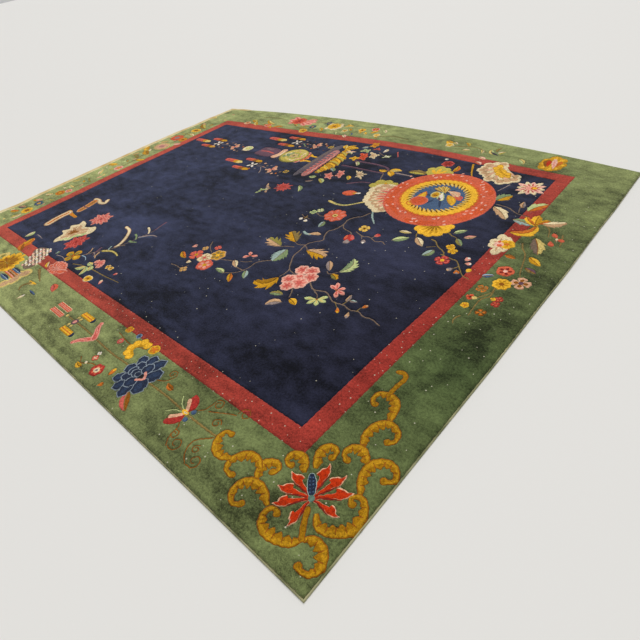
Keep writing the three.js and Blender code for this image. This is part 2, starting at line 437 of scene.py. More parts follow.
def knot_pile(name, shapes, hole=None, unit=0.01):
    """One piece of pile from painted shapes, later ones over earlier, cut free of knotted ones."""
    drawn = [(yarn, hand_tied(outline * unit)) for yarn, outline in shapes]
    everything = np.concatenate([outline for _, outline in drawn])
    low = everything.real.min() + 1j * everything.imag.min()
    high = everything.real.max() + 1j * everything.imag.max()
    cuts = [o for o in knotted if o.real.max() > low.real and o.real.min() < high.real
            and o.imag.max() > low.imag and o.imag.min() < high.imag]
    if hole is not None:
        cuts.append(hand_tied(hole * unit))
    rows = np.arange(low.imag, high.imag, LATTICE * ROW_STEP)
    columns = np.arange(low.real, high.real, LATTICE)
    X, Y = np.meshgrid(columns, rows)
    X = X + (np.arange(len(rows)) % 2)[:, None] * LATTICE / 2
    lattice = (X + 1j * Y).ravel()
    wanted = np.zeros(len(lattice), bool)
    for _, outline in drawn:
        wanted |= inside(lattice, outline)
    for outline in cuts:
        wanted &= ~inside(lattice, outline)
    loops = [outline for _, outline in drawn] + cuts
    points, edges = [], []
    for loop in loops:
        start = sum(map(len, points))
        run = np.arange(len(loop))
        edges += zip((start + run).tolist(), (start + np.roll(run, -1)).tolist())
        points.append(loop)
    points = np.concatenate(points + [lattice[wanted]])
    flat_points = [Vector((p.real, p.imag)) for p in points.tolist()]
    cells = delaunay_2d_cdt(flat_points, edges, [], 0, SAME_PLACE, False)
    z = np.array([complex(v.x, v.y) for v in cells[0]])
    faces = np.array([f for f in cells[2] if len(f) == 3])
    middle = z[faces].mean(1)
    label = np.full(len(faces), -1)
    for k, (_, outline) in enumerate(drawn):
        label[inside(middle, outline)] = k
    for outline in cuts:
        label[inside(middle, outline)] = -1
    faces, label = faces[label >= 0], label[label >= 0]
    used, faces = np.unique(faces, return_inverse=True)
    z, faces = z[used], faces.reshape(-1, 3)
    names = sorted({yarn for yarn, _ in drawn})
    slots = np.array([names.index(yarn) for yarn, _ in drawn])[label]
    sunk = np.array([SUNK.get(yarn, 0) for yarn in names])[slots]
    sinks, meets = np.zeros(len(z)), np.zeros(len(z))
    np.add.at(sinks, faces.ravel(), np.repeat(sunk, 3))
    np.add.at(meets, faces.ravel(), 1)
    sides = np.concatenate([faces[:, [0, 1]], faces[:, [1, 2]], faces[:, [2, 0]]])
    key = np.sort(sides, 1) @ (len(z), 1)
    _, where, times = np.unique(key, return_index=True, return_counts=True)
    rim = sides[where[times == 1]]
    groove = np.zeros(len(z))
    groove[rim.ravel()] = -JOIN_GROOVE
    top = np.stack([z.real, z.imag, pile_height(z) + sinks / meets + groove], -1)
    back = top * (1, 1, 0) + (0, 0, PILE_BACK)
    top[:, 2] = np.maximum(top[:, 2], LEAST_TOP)
    under = len(z)
    walls = np.stack([rim[:, 0], rim[:, 0] + under, rim[:, 1] + under, rim[:, 1]], -1)
    face_list = faces.tolist() + (faces[:, ::-1] + under).tolist() + walls.tolist()
    rim_face = where[times == 1] % len(faces)
    all_slots = np.concatenate([slots, slots, slots[rim_face]])
    flat = np.arange(len(face_list)) >= 2 * len(faces)
    verts = np.concatenate([top, back])
    piece = new_piece(name, verts.tolist(), face_list, [wool(n) for n in names], all_slots, flat)
    size = max(high.real - low.real, high.imag - low.imag)
    spread = (verts[:, :2] - (low.real, low.imag)) / size
    corner = np.concatenate([np.array(f) for f in face_list])
    uv = spread[corner] * SHEET_SHOWN
    face = np.repeat(np.arange(len(face_list)), [len(f) for f in face_list])
    hidden = (face >= len(faces)) & (face < 2 * len(faces))
    uv[hidden] = 1 - SHEET_HIDDEN + SHEET_HIDDEN * spread[corner][hidden]
    piece.data.uv_layers.new(name="OFBake").data.foreach_set("uv", uv.ravel())
    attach(piece, "root")
    knotted.extend(outline for _, outline in drawn)


# ---------------------------------------------------------------------------------------
# Near corner: a scarlet lotus on its stalk in a frame of golden scrolls. The scrolls run
# out of the corner along both borders; brown yarn outlines and hatches them.
# Places are x + y*j in centimetres from the middle of the floor.
# ---------------------------------------------------------------------------------------
def smooth(places, closed=False):
    """A smooth line through the places, as close points."""
    p = np.asarray(places, complex)
    ends = ([p[-1]], [p[0], p[1]]) if closed else ([2 * p[0] - p[1]], [2 * p[-1] - p[-2]])
    p = np.concatenate([ends[0], p, ends[1]])
    line = []
    for a, b, c, d in zip(p, p[1:], p[2:], p[3:]):
        n = max(2, int(abs(c - b) / 0.7))
        t = np.arange(n) / n
        square, cube = 2 * a - 5 * b + 4 * c - d, 3 * b - a - 3 * c + d
        line.append(b + ((c - a) * t + square * t**2 + cube * t**3) / 2)
    return np.concatenate(line if closed else line + [p[-2:-1]])


def sideways(line):
    """Unit steps to the left of a line."""
    step = np.gradient(line)
    return 1j * step / np.abs(step)


def toward(degrees):
    """A unit step at this heading, from +x round to +y."""
    return np.exp(1j * np.radians(degrees))


def ribbon(places, *widths):
    """Outline of a band along a smooth line, as wide as told from one end to the other."""
    line = smooth(places)
    way = np.concatenate([[0], np.cumsum(np.abs(np.diff(line)))])
    half = np.interp(way / way[-1], np.linspace(0, 1, len(widths)), widths) / 2
    side = sideways(line)
    ends = [p + s * h * toward((-45, -90, -135)) * turn
            for p, s, h, turn in ((line[-1], side[-1], half[-1], 1), (line[0], side[0], half[0], -1))]
    return np.concatenate([line + side * half, ends[0], (line - side * half)[::-1], ends[1]])


def stem(yarn, *places, wide=0.8, end=None):
    return [(yarn, ribbon(places, wide, wide if end is None else end))]


def scroll(*places, wide=3.1, yarn="old gold", edge="rust", light="honey"):
    """A gold scroll from its curled end on: waves along its hollow side, notched in brown."""
    line = smooth(places)
    way = np.concatenate([[0], np.cumsum(np.abs(np.diff(line)))])
    share = way / way[-1]
    side = sideways(line)
    hollow = np.sign(np.sum((np.conj(side[:-1]) * side[1:]).imag))
    half = wide / 2 * np.interp(share, (0, 0.12, 0.55, 0.85, 1), (0.44, 0.38, 1.05, 0.8, 0.3))
    wave = np.abs(np.sin(np.pi * way / 2.9))
    waves = np.where(half > 0.28 * wide, 0.35 + 1.1 * wave, 1)
    shapes = []
    for grow, colour in ((0.3, edge), (0, yarn)):
        one = line + side * hollow * (half * waves + grow)
        other = line - side * hollow * (half + grow)
        shapes.append((colour, np.concatenate([one, other[::-1]])))
        shapes.append((colour, disc(line[0] + side[0] * hollow * 0.4, wide * 0.34 + grow)))
    near, far = line + side * hollow * half * waves * 0.1, line - side * hollow * half * 0.8
    shapes.append((light, np.concatenate([near, far[::-1]])))
    dips = (wave[1:-1] < wave[:-2]) & (wave[1:-1] < wave[2:]) & (half[1:-1] > 0.25 * wide)
    for k in np.flatnonzero(dips) + 1:
        notch = line[k] + side[k] * hollow * half[k] * 0.7
        shapes.append((edge, ribbon((notch, line[k] - side[k] * hollow * half[k] * 0.35), 0.55, 0.25)))
    return shapes


def disc(centre, radius, squash=1.0, turn=0):
    """A round, or an oval `squash` as wide as long, its long way at `turn` degrees."""
    n = max(10, int(radius * 7))
    circle = np.exp(2j * np.pi * np.arange(n) / n)
    return centre + radius * (circle.real + 1j * circle.imag * squash) * toward(turn)


def flame(base, tip, wide, barb):
    """Outline of a lotus petal: narrow foot, broad head with a barb on one side, long point."""
    shape = np.array([0 - .06j, .3 - .10j, .55 - .13j, .7 - .22j, .84 - .18j, 1, .86 + .06j, .8 + .22j,
                      .62 + .34j, .6 + .16j, .3 + .10j, 0 + .06j])
    shape = shape.real + 1j * shape.imag * wide * (1 if barb > 0 else -1)
    return base + (tip - base) * smooth(shape * 30)[:-1] / 30


lotus_heart = 166 - 119.5j
shapes = []
for places in (                          # each from its curled end to where it joins the next
        (159.3 - 80.6j, 157.6 - 78.8j, 158 - 76j, 161.5 - 74.6j, 165.6 - 76.6j, 168.2 - 84j),
        (172.7 - 90.7j, 174.2 - 88.6j, 173 - 85.6j, 169 - 84.3j, 166 - 87j, 165.2 - 92j, 167.4 - 97j),
        (166 - 103.4j, 163.9 - 101.6j, 164.6 - 98.7j, 168 - 97.7j, 172.5 - 100.5j),
        (180 - 102.4j, 182.2 - 100j, 180.6 - 97j, 177 - 96.6j, 174 - 99.4j, 173.6 - 104j, 177 - 110j),
        (162 - 105.2j, 161.5 - 102.6j, 158.8 - 102.4j, 157.4 - 105.8j, 160 - 111.4j),
        (152.8 - 115.4j, 150.4 - 114.6j, 150.6 - 111.6j, 154.4 - 111j, 158.2 - 114.5j),
        (150 - 120.6j, 150.6 - 118.6j, 148.6 - 117.4j, 145.8 - 119.4j, 145.8 - 122.4j, 147.4 - 125.4j),
        (139.6 - 129.6j, 136.2 - 128.8j, 135.4 - 124.8j, 138.4 - 121j, 142 - 120.4j, 145.6 - 122j),
        (127 - 118.7j, 124.4 - 119.6j, 124.4 - 123j, 127.6 - 126.2j, 131 - 126.8j, 134.6 - 125.4j),
        (150 - 134.2j, 147 - 135.4j, 144.2 - 132.4j, 145.4 - 128j, 150.5 - 126.4j, 157 - 129.2j),
        (161 - 128.8j, 158.6 - 128.8j, 157.8 - 131.5j, 160.2 - 134.6j, 165 - 134.8j, 170 - 133j,
         172.4 - 130j), (176.6 - 113.8j, 175.4 - 111.8j, 178.2 - 110.4j, 181.2 - 113.4j, 181.4 - 119.5j,
                         177.4 - 123.5j, 173.2 - 124.4j, 170.3 - 122j),
        (176.6 - 136.4j, 180 - 136j, 181.4 - 132.6j, 179 - 129j, 175.5 - 128.2j, 172.4 - 130j)):
    shapes += scroll(*places)
for wide, yarn in ((2.2, "rust"), (1.6, "old gold")):
    shapes += stem(yarn, 157.6 - 63.6j, 159.6 - 63j, 161.4 - 65j, 161 - 70j, 161 - 74.6j, wide=wide,
                   end=wide * 0.8)
    shapes += stem(yarn, 167.4 - 122.6j, 169.2 - 126j, 172.2 - 130.2j, wide=wide * 0.9)
tips = (162.8 - 107.6j, 169.5 - 107.8j, 174.8 - 110.8j, 176 - 118.8j, 166 - 129.6j, 157.6 - 127.6j,
        154.8 - 122.5j, 155 - 116.6j)
for grow, yarn in ((0.3, "peach"), (0, "scarlet")):
    for k, tip in enumerate(tips):
        axis = (tip - lotus_heart) / abs(tip - lotus_heart)
        lobe = flame(lotus_heart - axis * grow, tip + axis * 2 * grow, 0.5 + 0.14 * grow, 1 - 2 * (k > 3))
        shapes.append((yarn, lobe))
for k, tip in enumerate(tips):
    axis, lean = tip - lotus_heart, (1 - 2 * (k > 3)) * 0.07j
    shapes.append(("dark red", ribbon((lotus_heart + axis * 0.12, lotus_heart + axis * (0.45 - lean),
                                       lotus_heart + axis * (0.72 - 2 * lean)), 0.3, 0.7, 0.2)))
seed = lotus_heart + 4.6 * toward(132)
shapes += [("teal", disc(seed, 4.1, 0.4, 132)), ("ink", disc(seed, 3.85, 0.35, 132)),
           ("moss", disc(lotus_heart, 1.15))]
shapes += [("steel", disc(seed + (1.1 * k + 0.5j * side) * toward(132), 0.26))
           for k in (-2.2, -1.1, 0, 1.1, 2.2) for side in (-1, 1)]
knot_pile("corner_lotus", shapes)

# ---------------------------------------------------------------------------------------
# Near border: a red butterfly, a dark blue peony, a yellow bloom, tied scrolls, a bent
# ribbon and striped books, all hung on one long faded tendril. Every motif here and in
# the sections below is wool knotted in with the ground, one yarn to each colour.
# ---------------------------------------------------------------------------------------
def petal(base, tip, wide, full=0.62, blunt=0.7, bend=0.0):
    """Outline of a petal, widest at `full` of its way, its axis bent to the left by `bend`."""
    n = max(6, int(abs(tip - base) / 0.8))
    t = np.arange(n + 1) / n
    half = wide / 2 * np.clip(np.sin(np.pi * t ** (math.log(0.5) / math.log(full))), 0, 1) ** blunt
    axis = base + (tip - base) * (t + 1j * bend * np.sin(np.pi * t))
    side = 1j * (tip - base) / abs(tip - base)
    return np.concatenate([axis + side * half, (axis - side * half)[-2:0:-1]])


def frilled(foot, tip, wide):
    """Outline of a peony petal: broad, with a nick in the shoulder on either side of its point."""
    t = np.linspace(0, 1, 17)
    half = wide / 2 * np.interp(t, (0, 0.3, 0.5, 0.62, 0.75, 0.88, 1), (0.6, 0.94, 1, 0.8, 0.88, 0.48, 0))
    axis = foot + (tip - foot) * t
    side = 1j * (tip - foot) / abs(tip - foot)
    return np.concatenate([axis + side * half, (axis - side * half)[-2::-1]])


def petals(heart, tips, *layers):
    """Petals from one heart to each tip, in layers: yarn, width, share of the way, where widest."""
    return [(yarn, petal(heart, heart + (tip - heart) * share, wide, full=full))
            for tip in tips for yarn, wide, share, full in layers]


def blossom(centre, radius, count, yarns, turn=0.0, wide=0.84, heart=0.3, squash=1.0):
    """A flower of round petals; yarns are the rim, the petal, its inner part and the heart."""
    rim, body, inner, seed = yarns
    ways = np.exp(1j * (np.radians(turn) + 2 * np.pi * np.arange(count) / count))
    ways = ways.real + 1j * ways.imag * squash
    across = radius * min(1.0, wide * 2 * np.sin(np.pi / count))
    edge = min(0.5, 0.12 * radius)
    shapes = [(rim, petal(centre, centre + way * radius, across, full=0.7, blunt=0.55)) for way in ways]
    for way in ways if body != rim else ():
        tip = centre + way * (radius - edge)
        shapes.append((body, petal(centre, tip, across - 2 * edge, full=0.7, blunt=0.55)))
    for way in ways if inner != body else ():
        shapes.append((inner, petal(centre, centre + way * radius * 0.72, across * 0.42, full=0.7)))
    return shapes + [(seed, disc(centre, heart * radius, squash))]


def leaf(base, tip, wide, one, other, rib="brown", bend=0.12, teeth=0, full=0.45, cut=0.3):
    """A leaf of two tones with its midrib; `teeth` on each side are cut in by the share `cut`."""
    n = max(10, int(abs(tip - base) / 0.5))
    t = np.arange(n + 1) / n
    half = wide / 2 * np.clip(np.sin(np.pi * t ** (math.log(0.5) / math.log(full))), 0, 1) ** 0.8
    reach = (t * teeth + 0.3) % 1 if teeth else 1
    half = half * (1 - cut + 1.2 * cut * reach) if teeth else half
    axis = base + (tip - base) * (t + 1j * bend * np.sin(np.pi * t))
    side = sideways(axis)
    lean = -1j * side * half * reach * cut if teeth else 0
    left, right = axis + side * half + lean, axis - side * half + lean
    shapes = [(one, np.concatenate([axis, left[-2:0:-1]])),
              (other, np.concatenate([right[:-1], axis[:0:-1]]))]
    return shapes + [(rib, ribbon((base, axis[n // 3], axis[2 * n // 3], axis[-2]), 0.5, 0.25))]


SUNNY = ("straw", "yellow", "gold", "rust")      # yarns of the commonest blossoms, from the rim in
PRIMROSE = ("yellow", "yellow", "gold", "gold")
CORNFLOWER = ("sage", "dusk", "steel", "gold")
WILD_ROSE = ("shell", "pink", "rose", "gold")
OAT = ("tan", "gold", "tan", "bark")


def bud(centre, long, wide, turn, body, tip, calyx="sage"):
    """A bud, pointing at `turn` degrees, with a paler tip and a green foot."""
    way = toward(turn)
    foot = centre - way * long / 2
    return [(calyx, petal(foot - way * 0.4, foot + way * long * 0.55, wide * 0.8)),
            (body, petal(foot, foot + way * long, wide)),
            (tip, petal(foot + way * long * 0.55, foot + way * long * 1.02, wide * 0.55))]


def blob(yarn, *rounds):
    """Overlapping rounds of one yarn, each centre, radius."""
    return [(yarn, disc(centre, radius)) for centre, radius in rounds]


shapes = []
for places in ((62 - 123j, 45 - 123.6j, 22 - 122.8j, 2 - 123j),
               (78 - 123.4j, 92 - 123j, 108 - 123.4j, 123 - 123j)):
    shapes += stem("bark", *places, wide=0.9)
for places in (
        (60 - 113j, 50 - 115.4j, 38 - 114.2j), (53 - 133j, 47 - 132j, 41 - 135j, 37 - 133j),
        (106 - 126.6j, 108 - 129j, 108.6 - 133j, 111 - 136.4j), (108 - 120j, 110 - 117.6j, 110.6 - 113j),
        (122.6 - 124j, 118 - 129j, 119.6 - 134j, 123 - 136.6j), (112 - 117.6j, 118 - 114.4j, 122 - 112.6j),
        (80.6 - 120.4j, 84 - 118.6j, 86 - 115j)):
    shapes += stem("rust", *places, wide=0.5, end=0.4)
# thin curls at their ends: centre, radius, where each begins, which way it winds
for centre, radius, start, way in (
        (113.4 - 133.6j, 3, 230, 1), (112.6 - 113.4j, 2.4, 150, -1), (124.6 - 110.6j, 2.8, 200, -1),
        (125 - 133.8j, 2.9, 240, 1), (118.6 - 119.4j, 2.2, 20, 1), (83.6 - 114.6j, 2.2, 0, 1),
        (109.4 - 131.6j, 2, 120, -1), (121.6 - 130.6j, 1.8, 90, 1)):
    t = np.linspace(0, 1, 9)
    curl = centre + radius * (1 - 0.7 * t) * np.exp(1j * (np.radians(start) + 7.5 * way * t))
    shapes += stem("rust", *curl, wide=0.45, end=0.4)
# butterfly
half_wing = smooth(
    (0.6 + 0.4j, -1.6 + 3.2j, -3.6 + 5.6j, -3.4 + 7.8j, -1 + 7.4j, 1.2 + 5.4j, 2 + 3.2j), closed=True)
for flip in (1, -1):
    shapes.append(("red", 104.5 - 123.3j + half_wing.real + 1j * flip * half_wing.imag))
    shapes += stem("peach", 104.4 - 123.3j + flip * 1j, 103 - 123.3j + flip * 2.8j,
                   101.2 - 123.3j + flip * 4.6j, wide=1.3, end=1.7)
    shapes += blob("steel", (107.4 - 123.3j + flip * 2j, 1.1))
    shapes += stem("lime", 103 - 123.3j + flip * 0.5j, 100 - 123.3j + flip * 1.8j,
                   97.4 - 123.3j + flip * 4.2j, wide=0.35)
shapes.append(("yellow", disc(104.6 - 123.3j, 1.9, 0.5)))
shapes.append(("cream", disc(104.9 - 123.3j, 1.0, 0.4)))
shapes += leaf(91 - 119.6j, 86 - 118.6j, 2.6, "orange", "rust", bend=0.1)
shapes += leaf(76 - 131j, 84 - 137.4j, 4.2, "rust", "rose", rib="bark", bend=-0.1)
# dark blue peony: three rows of frilled petals, each edged pale blue, and a pink heart
peony_foot = 54 - 123.45j
shapes.append(("ink", disc(peony_foot + 17, 7.6, 0.78, 90)))
for foot, tip, across in (               # the outer row from the heart's side round, then the rows within
        (20.8 - 0.1j, 25.2 + 7.4j, 7.6), (14 + 0j, 7.4 + 0j, 6.6), (14 + 3j, 8.6 + 8j, 5.6),
        (16.8 + 4.2j, 13.8 + 11.2j, 5.8), (18 + 3.4j, 20.8 + 12.2j, 5.8), (15.6 + 1.6j, 11.2 + 5.3j, 5),
        (14.6 + 0j, 10.6 + 0j, 5.2), (18 + 1.4j, 17.2 + 7.6j, 5.6), (17.4 + 0j, 12.4 + 0j, 4.8),
        (18 + 0j, 14.6 + 0j, 3.2)):
    for flip in (1, -1) if tip.imag else (1,):
        low, high = (peony_foot + place.real + 1j * flip * place.imag for place in (foot, tip))
        way = (high - low) / abs(high - low)
        shapes.append(("pewter", frilled(low, high, across)))
        shapes.append(("ink", frilled(low + way * 0.25, high - way * 0.45, across - 0.7)))
        if across > 5.4:
            shapes.append(("dusk", petal(low + way, high - way * 1.4, across * 0.36, full=0.62)))
shapes.append(("black", disc(73 - 123.45j, 1.5, 0.8, 90)))
shapes += stem("pink", 72.6 - 121j, 75.2 - 123.4j, 72.4 - 125.8j, wide=1.2, end=1.2)
# yellow bloom, seen from the side, and the small flowers by it
for centre in (58.4 - 111.2j, 55 - 110.8j, 52.8 - 113.2j, 52.4 - 116.4j, 53.8 - 119j, 56.8 - 119.8j):
    shapes += [("gold", disc(centre, 2.1)), ("yellow", disc(centre, 1.75))]
shapes += [("gold", ribbon((57.6 - 112.4j, 54.6 - 114j, 54.6 - 117j, 57 - 118.4j), 1.0, 1.2))]
shapes += blossom(63.4 - 111j, 2.9, 5, ("yellow", "gold", "orange", "orange"), turn=30)
shapes += blossom(40.6 - 110.2j, 2.2, 4, ("yellow", "gold", "orange", "orange"), turn=45)
shapes += blossom(49 - 110j, 1.6, 5, ("sky", "steel", "steel", "ink"))
shapes += bud(59.2 - 129.4j, 4.2, 2.4, 100, "orange", "yellow", "rust")
shapes += bud(61.6 - 136.2j, 3, 2.2, 60, "orange", "rust")
shapes += blossom(52 - 133j, 3.6, 6, ("red", "red", "coral", "cream"), turn=10, heart=0.42)
shapes += blob("ash", (52 - 133j, 0.7))
shapes += blossom(44 - 129.6j, 1.8, 4, ("red", "coral", "pink", "cream"))
shapes += blossom(43 - 127j, 1.2, 4, ("ivory", "ivory", "ivory", "tan"))
shapes += blossom(44 - 117j, 1.8, 5, ("rose", "rose", "rose", "tan"))
shapes += leaf(43.4 - 136.2j, 38.8 - 135.6j, 2.8, "yellow", "gold", bend=0.15)
shapes += bud(43 - 133.6j, 2, 1.4, 150, "cream", "ivory")
# bent ribbon, two tied scrolls with a knot between, a pair of striped books
for flip in (1, -1):
    arm = np.array([23.4 - 7.6j, 25 - 5j, 28 - 2.6j, 30.6])
    arm = arm.real + 1j * (arm.imag * flip - 123.5)
    shapes += stem("pink", *arm, wide=2.2, end=3.4)
    shapes += stem("rose", *arm, wide=1.2, end=2.2)
    shapes += stem("pink", *(arm[:-1] + (0.5, -0.4, 0.5)), wide=0.5)
for y in (-117.4, -128.9):
    shapes.append(("ink", disc(17.4 + 1j * y, 1.5)))
    for half, yarn in ((1.65, "gold"), (0.9, "yellow"), (0.3, "orange")):
        roll = np.array([7 - 0.2 * half - 1j * half, 16.6 - 1j * half, 17, 16.6 + 1j * half, 7 + 1j * half])
        shapes.append((yarn, roll + 1j * y))
shapes += blob("straw", (8 - 120.4j, 0.9), (10.4 - 120.4j, 0.9), (8 - 125.8j, 0.9), (10.4 - 125.8j, 0.9))
for yarn, centre, radius in (
        ("mauve", 9.2 - 123.1j, 1.9), ("pink", 9.2 - 123.1j, 1.1), ("straw", 0 - 123j, 0.9)):
    shapes += blob(yarn, (centre, radius))
for y in (-120.4, -124.8):
    for rise, yarn in ((1.6, "cream"), (1.3, "coral"), (0.55, "pink"), (0.2, "coral")):
        book = np.array([-14.6 - 1j, -2.4 - 1j, -1.8 + 0.5j, -3 + 1j, -14.2 + 1j])
        shapes.append((yarn, book.real + 1j * (y + rise * book.imag)))
shapes += leaf(-36.6 - 114.6j, -29.6 - 118.6j, 4.4, "coral", "rose", rib="dark red", bend=0.1)
shapes += leaf(-44 - 125.3j, -36 - 125.6j, 1.5, "steel", "ink", rib="steel", bend=0)
shapes += bud(-42.6 - 131j, 4.6, 2, 85, "cream", "ivory", "bark")
shapes += leaf(-47 - 120.6j, -55 - 121j, 2.8, "straw", "yellow", rib="gold")
shapes += stem("bark", -52 - 122j, -54 - 126j, -51 - 129j, wide=2.2, end=0.8)
shapes += stem("bark", -62 - 112.6j, -56 - 115j, -48 - 118j, wide=2.0, end=0.8)
knot_pile("near_border_flowers", shapes)

# ---------------------------------------------------------------------------------------
# Near left: a cream censer with blue lenses, a gold and a cream chrysanthemum, a gold leaf
# and a pink fan rose, knotted across the red line so that border and field run together.
# ---------------------------------------------------------------------------------------
shapes = []
for grow, yarn in ((0, "straw"), (-1.5, "tan")):
    shapes += blob(yarn, *((z, r + grow) for z, r in (
                               (-66 - 119.5j, 4.2), (-68.6 - 123j, 4.4), (-66 - 126.5j, 4.4),
                               (-64.4 - 128j, 3), (-67 - 131.6j, 4.0))))
for y in (-121.4, -128.6):
    shapes += leaf(-69 + 1j * y, -81.6 + 1j * y, 3.2, "steel", "ink", rib="sky", bend=0, full=0.5)
for k, yarn in enumerate(("orange", "tan", "rust", "pink", "orange")):
    shapes += stem(yarn, -81.5 + 1j * (-123.2 - 0.8 * k), -76 + 1j * (-123 - 0.8 * k),
                   -69 + 1j * (-123.2 - 0.8 * k), wide=0.8)
# gold chrysanthemum: rows of ragged tongues, brown between the inner ones
gold_heart = -91.4 - 121.4j
for reach, across, count, yarn in (
        (11.6, 3.4, 19, "yellow"), (9.4, 3.0, 16, "gold"), (7.2, 2.6, 13, "old gold")):
    for k in range(count):
        way = np.exp(2j * np.pi * (k + 0.2 * (k % 3)) / count)
        tip = gold_heart + way * (reach - 0.9 * (k % 2))
        shapes.append((yarn, petal(gold_heart, tip, across, full=0.75)))
for k in range(10):
    tip = gold_heart + 7.6 * np.exp(2j * np.pi * (k + 0.5) / 10)
    shapes.append(("rust", petal(gold_heart, tip, 1.1, full=0.7)))
shapes += blob("straw", (-103 - 117.6j, 2.6), (-105.4 - 119.6j, 2.2)) + blob("olive", (-103.4 - 119.4j, 1.6))
# cream chrysanthemum: curled petals in slanting rows over a shaded body
body = (-88.6 - 101j, -83 - 98.8j, -77.4 - 99.6j, -74 - 104j, -70.6 - 109.6j, -69.8 - 115.6j,
        -73.4 - 118j, -79 - 115.6j, -81 - 111.6j, -85.4 - 108j, -89 - 104.8j)
shapes.append(("twig", smooth(body, closed=True)))
along, over = np.exp(-1j), np.exp(0.57j)
for row in range(9):
    for k in range(5):
        place = -86.6 - 101.4j + along * 2.0 * row + over * (2.5 * k - 3.4 + 1.2 * (row % 2) + 0.12 * row)
        curl = petal(place, place + 3.3 * np.exp(-0.45j + 0.2j * (k % 2)), 1.5, bend=0.14)
        shapes.append((("cream", "ivory", "shell")[(row + k) % 3], curl))
shapes += leaf(-104 - 110.6j, -107.6 - 97.6j, 8, "gold", "orange", rib="rust", bend=-0.1, teeth=3)
shapes += leaf(-98 - 110j, -107 - 104.6j, 4, "orange", "rust", rib="rust", bend=0.1)
# fan rose
shapes += petals(-51.6 - 106.6j, (
                     -60.4 - 106.4j, -60.2 - 102.6j, -57.4 - 100.4j, -54.2 - 99.6j, -51 - 99.6j,
                     -48 - 100.8j, -45.2 - 103j, -43 - 106j, -57 - 109.6j, -53 - 110.8j, -48.6 - 110.4j),
                 ("pink", 4.2, 1, 0.72), ("coral", 3.2, 0.9, 0.7), ("pink", 0.9, 0.7, 0.6))
shapes += leaf(-50 - 108j, -42 - 104j, 3, "pink", "coral", rib="rose")
shapes += leaf(-59.6 - 108.8j, -65 - 105j, 2.4, "yellow", "cream", rib="gold")
knot_pile("near_left_censers", shapes)

# ---------------------------------------------------------------------------------------
# Lower left of the field: two tied scrolls, a veined heart leaf between coral flowers,
# a bending reed, a gold clematis and a small branch of pink and yellow flowers.
# ---------------------------------------------------------------------------------------
shapes = []
for wide, yarn in ((3.2, "tan"), (1.8, "cream")):
    shapes += stem(yarn, -109 - 42.4j, -106.6 - 46j, -111 - 47.4j, -116 - 45.8j, -121 - 46j, wide=wide)
for wide, yarn in ((6.4, "tan"), (4.4, "orange"), (1.8, "bark")):
    shapes += stem(yarn, -117.6 - 48.6j, -116 - 54j, -115 - 61j, wide=wide, end=wide * 0.9)
shapes += stem("mauve", -119.4 - 56j, -116 - 56.6j, -112.6 - 56j, wide=0.9)
for wide, yarn in ((3.4, "gold"), (1.6, "orange")):
    shapes += stem(yarn, -122.4 - 66j, -116 - 67.4j, -107.6 - 68j, wide=wide, end=wide * 0.6)
for wide, yarn in ((6.6, "tan"), (4.4, "cream"), (2.0, "orange")):
    shapes += stem(yarn, -120.4 - 67.6j, -120.6 - 75j, -119 - 83j, wide=wide)
for centre, wide, high, edge, body in (
        (-85.4 - 60j, 8, 7.6, "pink", "rose"), (-71.6 - 84.4j, 6.8, 8.2, "rose", "red")):
    for ring, count, reach in ((0, 13, 1.0), (1, 9, 0.72), (2, 6, 0.44)):
        for k in range(count):
            way = np.exp(1j * (2 * np.pi * (k + 0.3 * ring) / count))
            tip = centre + reach * (wide * way.real + 1j * high * way.imag) * (1 + 0.12 * (-1) ** k)
            shapes += [(edge, petal(centre, tip, 2.9, full=0.6)),
                       (body, petal(centre, centre + (tip - centre) * 0.9, 2.0))]
    shapes += blob("dark red", (centre, 0.9))
heart_leaf = smooth((-86 - 71.4j, -90 - 68.6j, -95.6 - 68j, -94.6 - 72j, -98 - 76j, -94.4 - 78.6j,
                     -97 - 82.6j, -92 - 84.4j, -90.4 - 90j, -87 - 93j, -84 - 89j, -79.6 - 86.6j, -79 - 81j,
                     -73.6 - 75j, -74 - 70.4j, -78 - 67.6j, -81.6 - 69.6j), closed=True)
shapes.append(("cream", heart_leaf))
shapes.append(("lime", -81.4 - 82j + 0.62 * (heart_leaf[len(heart_leaf) // 2:] + 82.4 + 80.6j)))
shapes.append(("tan", -86 - 79j + 0.66 * (heart_leaf + 85.6 + 79j)))
shapes.append(("rust", -87 - 79.6j + 0.28 * (heart_leaf + 85.6 + 79j)))
for tip in (-93 - 71j, -95.4 - 76.4j, -94.4 - 82j, -90 - 88j, -82 - 86j, -77.4 - 78j, -77 - 71j):
    shapes.append(("cream", petal(-86.4 - 80j, tip, 1.0, full=0.8)))
for wide, yarn in ((2.2, "tan"), (1.3, "cream")):
    shapes += stem(yarn, -56.4 - 57j, -50 - 58.4j, -44.6 - 63.6j, -41 - 69j, -39.6 - 74j, wide=wide,
                   end=wide * 1.1)
